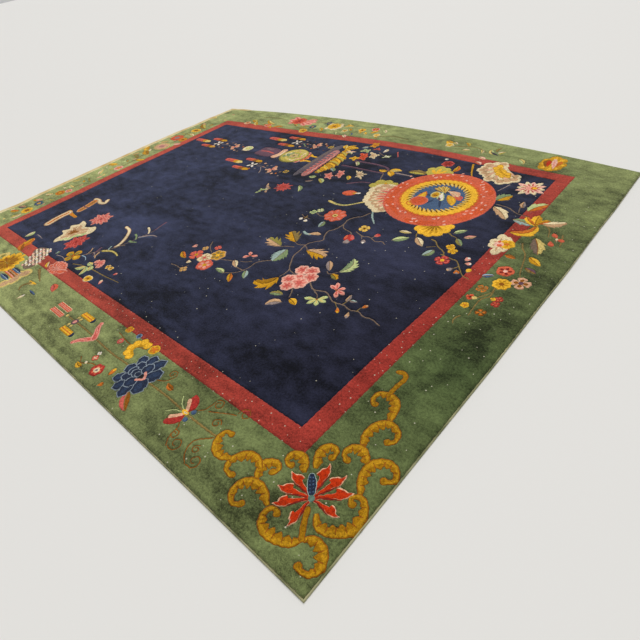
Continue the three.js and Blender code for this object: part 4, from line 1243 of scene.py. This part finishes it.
# its stripes waver along the body; a tooth of slate bites into the rose at each wave
for yarn, wide, offset, start, end in (
        ("twig", 1.0, -7.4, 56, 90), ("mauve", 0.7, -5.2, 50, 88), ("rose", 0.9, -1.8, 50, 84),
        ("mauve", 0.6, -0.2, 52, 80), ("pink", 0.8, 1.4, 50, 80), ("rose", 0.6, 2.6, 50, 66)):
    y = np.linspace(start, end, 24)
    waver = offset - 0.05 * (y - 66) + 0.5 * np.sin(y * 1.3 + offset)
    shapes.append((yarn, ribbon(waver + 1j * y, wide)))
shapes += [("slate", petal(-4.6 + (48 + 3.4 * k) * 1j, -1.6 + (50 + 3.4 * k) * 1j, 1.8)) for k in range(11)]
# fringe of yellow leaves down its open side
for k in range(15):
    root = 0.6 + 0.3 * k + (90 - 2.5 * k) * 1j
    tip = root + (6 + 6.5 * math.sin(0.24 * k)) * np.exp(-1j * (0.25 + 0.12 * (k % 4)))
    shapes += leaf(root, tip, 4.6, ("yellow", "gold", "citron")[k % 3],
                   ("gold", "yellow", "old gold")[k % 3], "rust", 0.1, 2)
shapes += leaf(1 + 91j, 5 + 99j, 4.4, "yellow", "gold")
shapes += leaf(0 + 92j, -2.6 + 98j, 3.6, "yellow", "straw")
shapes += leaf(3 + 92j, 9.6 + 95.6j, 4.2, "yellow", "gold")
for yarn, wide, places in (
        ("mauve", 2.1, (21 + 77.6j, 30 + 78.4j, 40 + 78.4j, 48 + 77j, 51 + 74j)),
        ("mauve", 1.9, (17 + 69j, 28 + 69.2j, 40 + 69.2j, 50 + 69.6j)),
        ("ash", 1.6, (58 + 73j, 64 + 73.2j, 69.6 + 73.2j)), ("twig", 0.9, (51 + 69j, 54 + 62j, 57 + 59j)),
        ("mauve", 1.4, (38 + 49j, 45 + 54j, 51 + 55.4j)), ("rose", 0.8, (40 + 100j, 42 + 97j, 44.6 + 93.6j)),
        ("twig", 0.7, (28 + 95j, 34 + 92j, 38 + 91j))):
    shapes += stem(yarn, *places, wide=wide, end=wide * 0.8)
for base, tip, wide, one, other in (
        (51 + 73.4j, 45 + 73j, 3.4, "yellow", "gold"), (52 + 74j, 59.6 + 76.8j, 4.4, "yellow", "straw"),
        (52 + 73.4j, 57.4 + 67.6j, 4.4, "gold", "yellow"), (22.4 + 77j, 27 + 72j, 2.8, "lime", "cream"),
        (12 + 62.6j, 17.6 + 59j, 3.4, "sage", "teal"), (11.4 + 49j, 6.6 + 47j, 4.2, "lime", "sage"),
        (15.6 + 47j, 21.6 + 42.4j, 3.6, "lime", "citron"), (13 + 43.6j, 8.6 + 40.6j, 2.6, "ash", "mauve"),
        (10 + 34j, 15.6 + 27.4j, 3, "sage", "lime"), (31 + 57.6j, 35 + 53j, 3.2, "yellow", "citron"),
        (14 + 101j, 11 + 97.6j, 3.8, "teal", "ash"), (30 + 102j, 30.6 + 96j, 2.8, "cream", "ivory"),
        (3.6 + 89j, 11 + 85.6j, 3, "cream", "sage"), (5 + 86j, 12 + 90j, 2.4, "shell", "cream")):
    shapes += leaf(base, tip, wide, one, other, "bark")
for heart, yarns, wide, tips in (
        (21 + 85.6j, ("coral", "scarlet"), 5, (16.6 + 90j, 21 + 91j, 25 + 87j, 26 + 80.6j, 20.6 + 80.4j)),
        (17 + 93.6j, ("lime", "sage"), 3.4, (13.4 + 92j, 14.6 + 96.4j, 19.6 + 97j, 20.6 + 92.6j)),
        (26.4 + 90j, ("cream", "tan"), 3.8, (22 + 93.6j, 26 + 93j, 31.4 + 91.6j, 31.4 + 85j, 27 + 85.4j)),
        (17 + 80.6j, ("yellow", "gold"), 3.4, (13.6 + 80j, 16 + 84j, 20.6 + 83j, 19.6 + 77.6j)),
        (24.4 + 57.6j, ("pink", "rose"), 3.4, (20.4 + 62j, 24 + 63j, 27.6 + 59j, 28 + 52.6j, 23 + 54j)),
        (19 + 53j, ("pink", "rose"), 3.2, (14 + 54j, 17 + 57.6j, 22 + 54j, 23.4 + 49j, 18.4 + 49j)),
        (37 + 62j, ("cream", "tan"), 2.4, (31.4 + 66j, 35.6 + 67j, 41.8 + 64.6j, 42.6 + 57.2j, 37 + 58j)),
        (1 + 27.6j, ("rose", "red"), 2.6,
         (-6 + 29j, -3.4 + 32.6j, 1 + 34j, 6 + 32.6j, 8.6 + 28j, 6 + 23.4j, 1.4 + 21.4j, -3.6 + 23.4j)),
        (-8 + 20.6j, ("tan", "ash"), 2.8, (-13 + 28j, -4 + 17j, -6 + 23.4j)),
        (-9 + 18j, ("lime", "sage"), 2.8, (-11 + 13.6j, -7 + 21.6j, -12 + 20j)),
        (23.4 + 98.6j, ("rose", "dark red"), 2.8, (20.6 + 98j, 23 + 102j, 26.4 + 99j)),
        (17.6 + 104j, ("gold", "orange"), 3.8,
         (14 + 107.6j, 18 + 109j, 20.6 + 105j, 19.6 + 100.4j, 14.6 + 101j)),
        (37 + 91j, ("lime", "ivory"), 2.2, (35 + 88.4j, 35 + 93j, 39.6 + 93.6j, 39.8 + 90.6j))):
    between = tuple(0.42 * (a + b) + 0.16 * heart for a, b in zip(tips, tips[1:] + tips[:1]))
    shapes += petals(
        heart, between + tips, (yarns[0], wide * 0.58, 1, 0.66), (yarns[1], wide * 0.25, 0.75, 0.66))
    shapes += blob("rust", (heart, wide * 0.16))
shapes += [("coral", petal(43 + 38j, 52.4 + 41.4j, 6.4, full=0.5)),
           ("vermilion", petal(44 + 37.4j, 50 + 38.6j, 1.6)), ("gold", petal(49 + 40j, 53.6 + 41.8j, 2)),
           ("ivory", petal(51 + 40.8j, 54.6 + 42.2j, 1.8)), ("ivory", disc(76 + 102j, 1.1))]
knot_pile("flower_basket", shapes)

# ---------------------------------------------------------------------------------------
# Upper left of the field: a round citron jar lying with a mauve box, and three sets of
# tasselled scroll ends round it, each of rose bars with gold tips, a knot and a flower.
# ---------------------------------------------------------------------------------------
def bar(left, right, y, wide, *yarns):
    """A slim tassel in lengths of several yarns, rounded at its near end and pointed at its far end."""
    shapes, cuts = [], np.linspace(left, right, len(yarns) + 1)
    for a, yarn in zip(cuts, yarns):
        length = (a + 1j * y, (a + right) / 2 + 1j * (y + 0.3), right + 1j * y)
        shapes.append((yarn, ribbon(length, wide, wide, wide * 0.4)))
    seam = (left + 1 + 1j * (y - 0.6), (left + right) / 2 + 1j * (y - 0.6))
    shapes.append(("dark red", ribbon(seam, 0.6, 0.3)))
    return shapes


shapes = [("mauve", smooth((-64 + 60j, -49 + 59.6j, -46 + 66j, -48 + 73j, -63 + 73j, -65 + 66j),
                           closed=True)), ("rose", ribbon((-62 + 66j, -56 + 67j, -49 + 66j), 1.2)),
          ("ash", ribbon((-61 + 71j, -54 + 71j), 0.7)),
          ("peach", smooth((-46 + 74j, -42 + 75j, -40 + 67j, -42 + 59.6j, -46.6 + 61j, -45 + 67j),
                           closed=True)),
          ("cream", smooth((-43 + 73j, -40.6 + 67j, -43 + 61j, -42 + 67j), closed=True))]
jar = -29.4 + 68.4j
shapes += blossom(jar + 5, 10, 12, ("shell", "rose", "dark red", "red"), heart=0.5)
shapes += [("olive", disc(jar, 11.2)), ("citron", disc(jar + 0.6j, 10.4)),
           ("straw", disc(jar + 1 + 1.4j, 8.4)), ("citron", disc(jar + 1 + 1.4j, 7)),
           ("sage", disc(jar - 5.4, 5.0, 0.5, 60))]
for a, yarn in ((20, "cream"), (80, "tan"), (150, "cream"), (210, "citron"), (280, "cream"), (330, "pink")):
    gleam = jar + np.array([6, 8.6, 6.4]) * toward([a, a + 24, a + 50])
    shapes.append((yarn, ribbon(gleam, 1.2, 0.6)))
shapes += blossom(jar, 4.4, 6, ("sage", "straw", "tan", "olive"), heart=0.26)
for y in (72.6, 65):
    shapes += stem(
        "yellow", -17 + 1j * (y + 0.4 * (y - 68.8)), -14 + 1j * y, -9.8 + 1j * y, wide=2.1, end=1.6)
shapes += stem("orange", -17.6 + 74j, -16 + 69j, -17.6 + 64j, wide=1.6)
for x, y, tilt in ((-46, 88.5, 1), (-113, 63, 1), (-49, 44.5, 1.08)):
    shapes += bar(x - 28, x - 12, y - 0.5, 4.4, "rose", "rose", "coral", "gold", "straw")
    shapes += bar(x - 12, x + 3, y + 6 * tilt, 3.8, "rose", "coral", "rust", "gold")
    shapes += bar(x - 12, x + 3, y - 7 * tilt, 3.8, "rose", "coral", "rust", "gold")
    for k in range(26):
        place = x + (1.45 * k - 3) + 1j * (y + 5.6 * math.sin(2.4 * k + x))
        shapes += blob(("rust", "ash", "peach", "brown", "orange", "twig")[k % 6],
                       (place, 0.55 + 0.25 * (k % 3)))
    knot = x + 1j * y
    for k in range(8):
        tip = knot + 4.4 * toward(k * 45)
        shapes.append(("ivory" if k % 2 else "black", petal(knot, tip, 2)))
    shapes += blob("ash", (knot, 1.1))
    shapes += stem("ash", knot + 5, knot + 10 + 1j, knot + 15, wide=0.6)
    shapes += petals(knot + 20.8, (knot + 21.6 + 5.6j, knot + 25 + 2j, knot + 22.4 - 5j, knot + 18 - 1.6j),
                     ("peach", 3.2, 1, 0.62), ("rose", 1.1, 0.7, 0.62))
    shapes += blossom(x + 34 + 1j * (y + 1.6), 2.3, 4, ("straw", "gold", "bark", "bark"), turn=45)
for yarn, centre, radius in (
        ("cream", -77.6 + 65j, 4.4), ("lime", -77 + 65.6j, 3), ("straw", -77.6 + 65j, 1.4)):
    shapes += blob(yarn, (centre, radius))
shapes += stem("ash", -33 + 36.6j, -35 + 40j, -39 + 44j, wide=0.7)
shapes += stem("sage", -38 + 88j, -36 + 86.6j, -33.6 + 85j, wide=0.9)
knot_pile("jar_and_tassels", shapes)

# ---------------------------------------------------------------------------------------
# Far border: flowers half faded into the green, the clearest a gold bloom with a coral
# heart by the right corner.
# ---------------------------------------------------------------------------------------
shapes = []
shapes += petals(136 + 117.4j,
                 (129 + 122j, 134 + 127.6j, 140 + 125.6j, 143.6 + 117j, 141 + 110j, 136.6 + 107.4j,
                  131 + 109j, 128.4 + 115j), ("gold", 6.6, 1, 0.7), ("yellow", 2.2, 0.86, 0.8))
shapes += [("rust", petal(133.6 + 112j, 131.6 + 122j, 4.6)),
           ("scarlet", petal(134.4 + 112.6j, 132.6 + 121j, 2.6)),
           ("orange", petal(138.6 + 113j, 139 + 122j, 3)), ("shell", petal(138.4 + 110.6j, 134.6 + 124j, 3)),
           ("pink", petal(137.8 + 112j, 135.4 + 121j, 1.1))]
for base, tip, wide, one, other in (
        (99 + 118j, 95 + 124.6j, 3.4, "straw", "lime"), (101 + 118j, 104.6 + 123.6j, 3, "cream", "citron"),
        (96 + 120.6j, 102.6 + 117j, 3, "sage", "ink"), (99 + 122j, 99.6 + 129j, 2, "olive", "bark"),
        (116 + 117j, 121 + 111j, 3, "straw", "lime"), (88.6 + 122.6j, 91.6 + 117j, 2, "cream", "straw"),
        (77.6 + 117.6j, 82.6 + 119j, 2.6, "cream", "straw"), (74.6 + 129j, 79 + 124j, 2.6, "citron", "gold"),
        (60.6 + 128j, 66.6 + 120j, 4.6, "gold", "yellow"), (66.4 + 127j, 70 + 124j, 2.4, "cream", "straw"),
        (6 + 130j, 10 + 125j, 3.2, "cream", "lime"), (5 + 121j, 8.4 + 115j, 3.8, "gold", "citron"),
        (-4 + 131j, 2 + 125.6j, 3.6, "coral", "shell"), (-6.6 + 121.6j, -3 + 118j, 2.8, "yellow", "straw"),
        (-15 + 126j, -11 + 122.6j, 3.2, "cream", "straw"), (-11 + 121.6j, -8.4 + 118j, 2.6, "gold", "straw"),
        (-16.6 + 117j, -13 + 113j, 3, "steel", "sage"), (-19.6 + 112j, -15 + 108.4j, 3.4, "shell", "cream"),
        (-23 + 124j, -19.4 + 120j, 3, "gold", "citron"), (-31 + 115j, -27 + 111j, 3, "lime", "sage"),
        (-52 + 127j, -46 + 123j, 3.6, "ink", "sage"), (-60 + 118.6j, -54 + 114.6j, 3.6, "steel", "sage"),
        (-65 + 111j, -56 + 107j, 5, "gold", "yellow"), (-107 + 108.6j, -93 + 103j, 4.4, "gold", "orange"),
        (-126 + 113j, -118 + 109j, 4.4, "citron", "gold"), (-30 + 131j, -25 + 128j, 2.6, "straw", "gold"),
        (92.4 + 111.6j, 98 + 109.4j, 3, "shell", "peach"), (94 + 105j, 99 + 102j, 3, "shell", "coral"),
        (45 + 119j, 49 + 116j, 2.4, "sage", "citron"), (-78 + 117j, -72 + 114j, 3, "citron", "bark")):
    shapes += leaf(base, tip, wide, one, other, "bark")
shapes += petals(-38.4 + 124j,
    (-34 + 131j, -31 + 127j, -30.6 + 122.6j, -32.6 + 118.6j, -36 + 117j, -44 + 117.6j, -45.6 + 129j),
    ("cream", 4.6, 1, 0.7))
shapes += blossom(-39 + 124.4j, 6.4, 8, SUNNY, turn=10, heart=0.24)
shapes += petals(-77 + 124.4j, (-63 + 131j, -60.6 + 126.6j, -62 + 121.6j, -66 + 117.6j, -88.6 + 131j,
                                -90 + 124j, -86 + 117.6j), ("pink", 5.4, 1, 0.7), ("rose", 1.4, 1, 0.6))
shapes += blossom(-78.6 + 124.4j, 7, 8, ("coral", "coral", "red", "dark red"), turn=10, heart=0.2)
for centre, radius, count, yarns in (
        (-56.6 + 117.6j, 3.6, 6, ("sage", "ink", "steel", "gold")), (-59 + 108.6j, 4, 6, SUNNY),
        (-48 + 128.6j, 3, 5, CORNFLOWER), (-101 + 108.4j, 3.6, 6, ("shell", "coral", "rose", "gold")),
        (-1 + 129j, 3.4, 6, ("shell", "coral", "red", "gold")),
        (6.6 + 120j, 3, 5, ("cream", "straw", "yellow", "gold")), (-10.6 + 124.6j, 3.4, 6, SUNNY),
        (-24 + 119.6j, 2.8, 5, ("cream", "straw", "gold", "rust")),
        (66 + 122j, 3, 5, ("cream", "straw", "yellow", "gold")),
        (-126 + 106.4j, 3.2, 5, ("cream", "peach", "orange", "rust"))):
    shapes += blossom(centre, radius, count, yarns, turn=15)
for base, tip, wide, one, other in (
        (-96 + 112j, -110 + 118j, 4, "gold", "straw"), (-93 + 106j, -84 + 110j, 3.6, "gold", "orange"),
        (-112 + 105j, -119 + 112j, 3.6, "straw", "gold"), (-68 + 112j, -60 + 117j, 3, "olive", "citron"),
        (-49 + 118j, -43 + 112j, 3.2, "gold", "citron"), (-30 + 126j, -22 + 129j, 3.2, "yellow", "straw"),
        (0 + 121j, 4 + 127j, 3, "yellow", "gold"), (-20 + 127j, -14 + 131j, 3, "sage", "lime")):
    shapes += leaf(base, tip, wide, one, other, "bark")
for places in ((-120 + 121j, -108 + 124j, -92 + 123j), (-60 + 125j, -48 + 129j, -32 + 129j),
               (70 + 121j, 84 + 124j, 94 + 119j), (9 + 118j, 20 + 122j, 34 + 120j)):
    shapes += stem("bark", *places, wide=0.9, end=0.4)
knot_pile("far_border_flowers", shapes)

# ---------------------------------------------------------------------------------------
# Left border: a long loose spray of yellow, pink and blue flowers down the end of the rug,
# with one flower on its stem in the near left corner. Its yarns are chosen pale to go with
# the ground here, which is paler from sun fade and from painted sheen.
# ---------------------------------------------------------------------------------------
shapes = []
for places in (
        (-163 + 84j, -166 + 70j, -163 + 60j, -160 + 48j, -164 + 36j),
        (-166 + 27j, -162 + 14j, -160 + 2j, -163 - 10j),
        (-163 - 40j, -166 - 50j, -163 - 62j, -166 - 74j, -164 - 84j), (-176 + 100j, -172 + 92j, -163 + 84j)):
    shapes += stem("bark", *places, wide=1.1, end=0.6)
for base, tip, wide, one, other, teeth in (
        (-157 + 82j, -173 + 93j, 5.6, "old gold", "citron", 3),
        (-157 + 72j, -164 + 66j, 3.6, "olive", "citron", 0),
        (-162 + 68j, -153 + 65j, 3, "cream", "straw", 0), (-150 + 50j, -157 + 47j, 4.2, "shell", "pink", 0),
        (-168 + 50j, -176 + 44j, 4.2, "tan", "straw", 2), (-171 + 60j, -179 + 56j, 4, "straw", "cream", 0),
        (-160 + 22.6j, -172 + 29j, 6.6, "gold", "old gold", 3),
        (-169 + 28j, -180.4 + 36j, 6.4, "yellow", "gold", 3),
        (-162 + 14j, -170 + 18.6j, 4, "olive", "bark", 2),
        (-151.6 + 14.6j, -161 + 12j, 4.6, "gold", "yellow", 2),
        (-172 + 22j, -178 + 17j, 3.8, "tan", "straw", 0), (-168 - 1.6j, -181 - 3j, 5, "gold", "yellow", 2),
        (-164 + 5j, -172 + 9j, 3.4, "lime", "sage", 0), (-165 - 20.6j, -172 - 12j, 4, "cream", "straw", 3),
        (-158 - 32j, -168 - 28j, 3.4, "sage", "olive", 2), (-162 - 44j, -171 - 43j, 3.6, "lime", "straw", 0),
        (-168 - 58j, -176 - 61j, 4, "cream", "straw", 2),
        (-167 - 67j, -175 - 70.6j, 4.4, "pink", "peach", 3),
        (-168 - 80j, -177 - 82j, 4.6, "mauve", "tan", 2), (-166 - 86j, -175 - 89j, 4.2, "gold", "orange", 2),
        (-159 - 87j, -160.6 - 95j, 4, "cream", "straw", 0),
        (-170 + 105j, -178 + 110j, 3.6, "tan", "straw", 0),
        (-172 - 33j, -179 - 38j, 3.4, "straw", "citron", 0),
        (-156 - 62j, -162 - 64j, 3, "citron", "sage", 0)):
    shapes += leaf(base, tip, wide, one, other, "bark", 0.1, teeth)
for k in range(44):
    place = -166 + 7.6 * math.sin(2.4 * k) + 1j * (5 * k - 98 + 2 * math.sin(4.1 * k))
    tip = place + (3.4 + (k % 3)) * np.exp(1j * (1.9 * k))
    yarn = ("straw", "citron", "cream", "tan", "lime", "gold", "peach", "olive")[k % 8]
    shapes.append((yarn, petal(place, tip, 1.5 + 0.5 * (k % 3))))
for centre, radius, count, yarns, squash in (
        (-163 + 76j, 6, 8, SUNNY, 0.7),
        (-166.4 + 57.4j, 7.4, 9, ("coral", "vermilion", "coral", "ash"), 0.8),
        (-156.4 + 56.6j, 4.6, 7, ("gold", "orange", "gold", "rust"), 0.9),
        (-163.4 + 39j, 8.8, 11, ("straw", "tan", "peach", "dusty rose"), 0.8),
        (-160 - 5.4j, 4.6, 7, WILD_ROSE, 0.9),
        (-164.6 - 54.4j, 4.8, 7, ("gold", "orange", "rust", "gold"), 0.8),
        (-160.6 - 49j, 3.6, 6, WILD_ROSE, 0.8), (-163.4 - 72j, 5, 7, CORNFLOWER, 0.8),
        (-160.4 - 82.4j, 5.6, 8, ("citron", "yellow", "gold", "rust"), 0.85)):
    shapes += blossom(centre, radius, count, yarns, turn=10, heart=0.36, squash=squash)
shapes += blossom(-158 - 116j, 6, 7, ("straw", "gold", "orange", "rust"), heart=0.24)
shapes += leaf(-152 - 120j, -144 - 125j, 3.6, "citron", "sage")
shapes += leaf(-163 - 112j, -170 - 106j, 3.4, "sage", "citron")
shapes += stem("bark", -158 - 116j, -148 - 124j, -134 - 124j, -116 - 125j, wide=1.1, end=0.6)
shapes += blossom(-124 - 121j, 3.6, 5, ("shell", "pink", "coral", "gold"))
shapes += leaf(-134 - 124.4j, -128 - 130j, 3, "sage", "citron")
knot_pile("left_border_flowers", shapes)

# ---------------------------------------------------------------------------------------
# Ground: dark blue field, the red line round it and the wide green border, knotted last
# round all the flowers. The line bows with the far side and swells a little at the right.
# ---------------------------------------------------------------------------------------
# the red line's inner and outer edge: x or y of the place, inner, outer
LINE_NEAR = (-1.023, -1.104)
LINE_FAR = np.array([(-1.45, 0.966, 1.048), (-1.1, 0.976, 1.060), (-0.8, 0.993, 1.072), (-0.5, 1.010, 1.088),
                     (-0.2, 1.030, 1.110), (0.1, 1.046, 1.124), (0.4, 1.060, 1.136), (0.7, 1.050, 1.124),
                     (0.95, 1.030, 1.104), (1.2, 1.010, 1.086), (1.45, 0.990, 1.064)])
LINE_RIGHT = np.array([(-1.02, 1.452, 1.533), (-0.6, 1.457, 1.537), (0.0, 1.473, 1.546), (0.4, 1.465, 1.545),
                       (0.7, 1.457, 1.535), (1.0, 1.450, 1.526)])
LINE_LEFT = np.array([(-1.02, -1.455, -1.532), (-0.7, -1.446, -1.530), (0.0, -1.453, -1.535),
                      (0.95, -1.446, -1.522)])
FAR_LEFT_X, FAR_RIGHT_X = -1.75, 1.79    # where the pile's far corners are


def line_edge(side):
    """Closed outline of the red line's inner (1) or outer (2) edge."""
    near = LINE_NEAR[side - 1]
    left, right = LINE_LEFT[0, side], LINE_RIGHT[0, side]
    far_left, far_right = LINE_FAR[0, side], LINE_FAR[-1, side]
    x = np.linspace(left, right, 60)
    bottom = x + 1j * near
    y = np.linspace(near, far_right, 60)
    rise = np.interp(y, LINE_RIGHT[:, 0], LINE_RIGHT[:, side]) + 1j * y
    x = np.linspace(LINE_RIGHT[-1, side], LINE_LEFT[-1, side], 90)
    fitted = np.polyfit(LINE_FAR[:, 0], LINE_FAR[:, side], 6)
    top = x + 1j * np.polyval(fitted, np.clip(x, -1.5, 1.5))
    y = np.linspace(far_left, near, 60)
    fall = np.interp(y, LINE_LEFT[:, 0], LINE_LEFT[:, side]) + 1j * y
    return np.concatenate([bottom[:-1], rise[:-1], top, fall[1:-1]])


def pile_outline(inset):
    """Closed outline of the whole pile, inset from where it meets the bare edges."""
    near = NEAR_SIDE + SELVEDGE + inset
    x = np.linspace(left_end(near) + END_WEB + inset, right_end(near) - SELVEDGE - inset, 240)
    bottom = x + 1j * near
    corner_y = far_side(FAR_RIGHT_X) - SELVEDGE - inset
    y = np.linspace(near, corner_y, 180)
    rise = right_end(y) - SELVEDGE - inset + 1j * y
    left_y = far_side(FAR_LEFT_X) - END_WEB - inset
    x = np.linspace(rise[-1].real, left_end(left_y) + END_WEB + inset, 240)
    top = x + 1j * (far_side(x) - far_bare(x) - inset)
    y = np.linspace(top[-1].imag, near, 180)
    fall = left_end(y) + END_WEB + inset + 1j * y
    return np.concatenate([bottom[:-1], rise[:-1], top[:-1], fall[:-1]])


# Far colours of the ground yarns: sun-faded, with the far side's sheen painted in.
for yarn, nap, lint, faded_and_lit in (("navy", 1.3, 0.14, (45, 50, 73)), ("green", 1.0, 0.30, (148, 155, 100)),
                               ("line", 0.6, 0.6, (179, 77, 61))):
    wool(yarn, nap, lint, faded_and_lit)
knot_pile("field_pile", [("navy", line_edge(1))], unit=1)
knot_pile("red_line_pile", [("line", line_edge(2))], hole=line_edge(1), unit=1)
clipped = [("green", pile_outline(inset)) for inset in CLIPPED_EDGE[0]]
knot_pile("border_pile", clipped, hole=line_edge(2), unit=1)

# ---------------------------------------------------------------------------------------
# Floor, light and camera: a plain pale floor, even light from all round with one broad
# soft lamp high beyond the far left corner, and a camera that stands off the near right
# corner and looks across the rug.
# ---------------------------------------------------------------------------------------
FLOOR_HALF, FLOOR_LEVEL = 40, -0.0005    # half its width, and a hair below the cloth
corners = [(x * FLOOR_HALF, y * FLOOR_HALF, FLOOR_LEVEL) for x, y in ((-1, -1), (1, -1), (1, 1), (-1, 1))]
floor = new_piece("floor", corners, [(0, 1, 2, 3)], [])
plaster = bpy.data.materials.new("pale floor")
plaster.use_nodes = True
surface = plaster.node_tree.nodes["Principled BSDF"]
surface.inputs["Base Color"].default_value = (0.78, 0.77, 0.75, 1)
surface.inputs["Roughness"].default_value = 0.85
floor.data.materials.append(plaster)

world = bpy.data.worlds.new("studio")
bpy.context.scene.world = world
world.use_nodes = True
light = world.node_tree.nodes["Background"].inputs
light["Color"].default_value = (1, 1, 0.99, 1)
light["Strength"].default_value = 0.5

soft_light = bpy.data.lights.new("soft_light", "SUN")
soft_light.energy = 1.9
soft_light.angle = math.radians(40)
soft_light.color = (1, 0.99, 0.97)
holder = bpy.data.objects.new("soft_light", soft_light)
holder.rotation_euler = Vector((0.5, -0.75, -1.1)).to_track_quat("-Z", "Y").to_euler()
bpy.context.scene.collection.objects.link(holder)

LENS = 27.37                             # millimetres on a 36 mm frame
STANDS_AT = (2.354, -1.594, 1.332)
HEADING, DOWN, ROLL = 50.33, 39.54, -12.04
camera = bpy.data.objects.new("camera", bpy.data.cameras.new("camera"))
camera.data.lens = LENS
camera.location = STANDS_AT
h, d = math.radians(HEADING), math.radians(DOWN)
look = Vector((-math.sin(h) * math.cos(d), math.cos(h) * math.cos(d), -math.sin(d)))
upright = look.to_track_quat("-Z", "Y")
camera.rotation_euler = (upright @ Quaternion((0, 0, 1), math.radians(ROLL))).to_euler()
bpy.context.scene.collection.objects.link(camera)
bpy.context.scene.camera = camera
bpy.context.scene.view_settings.view_transform = "Standard"
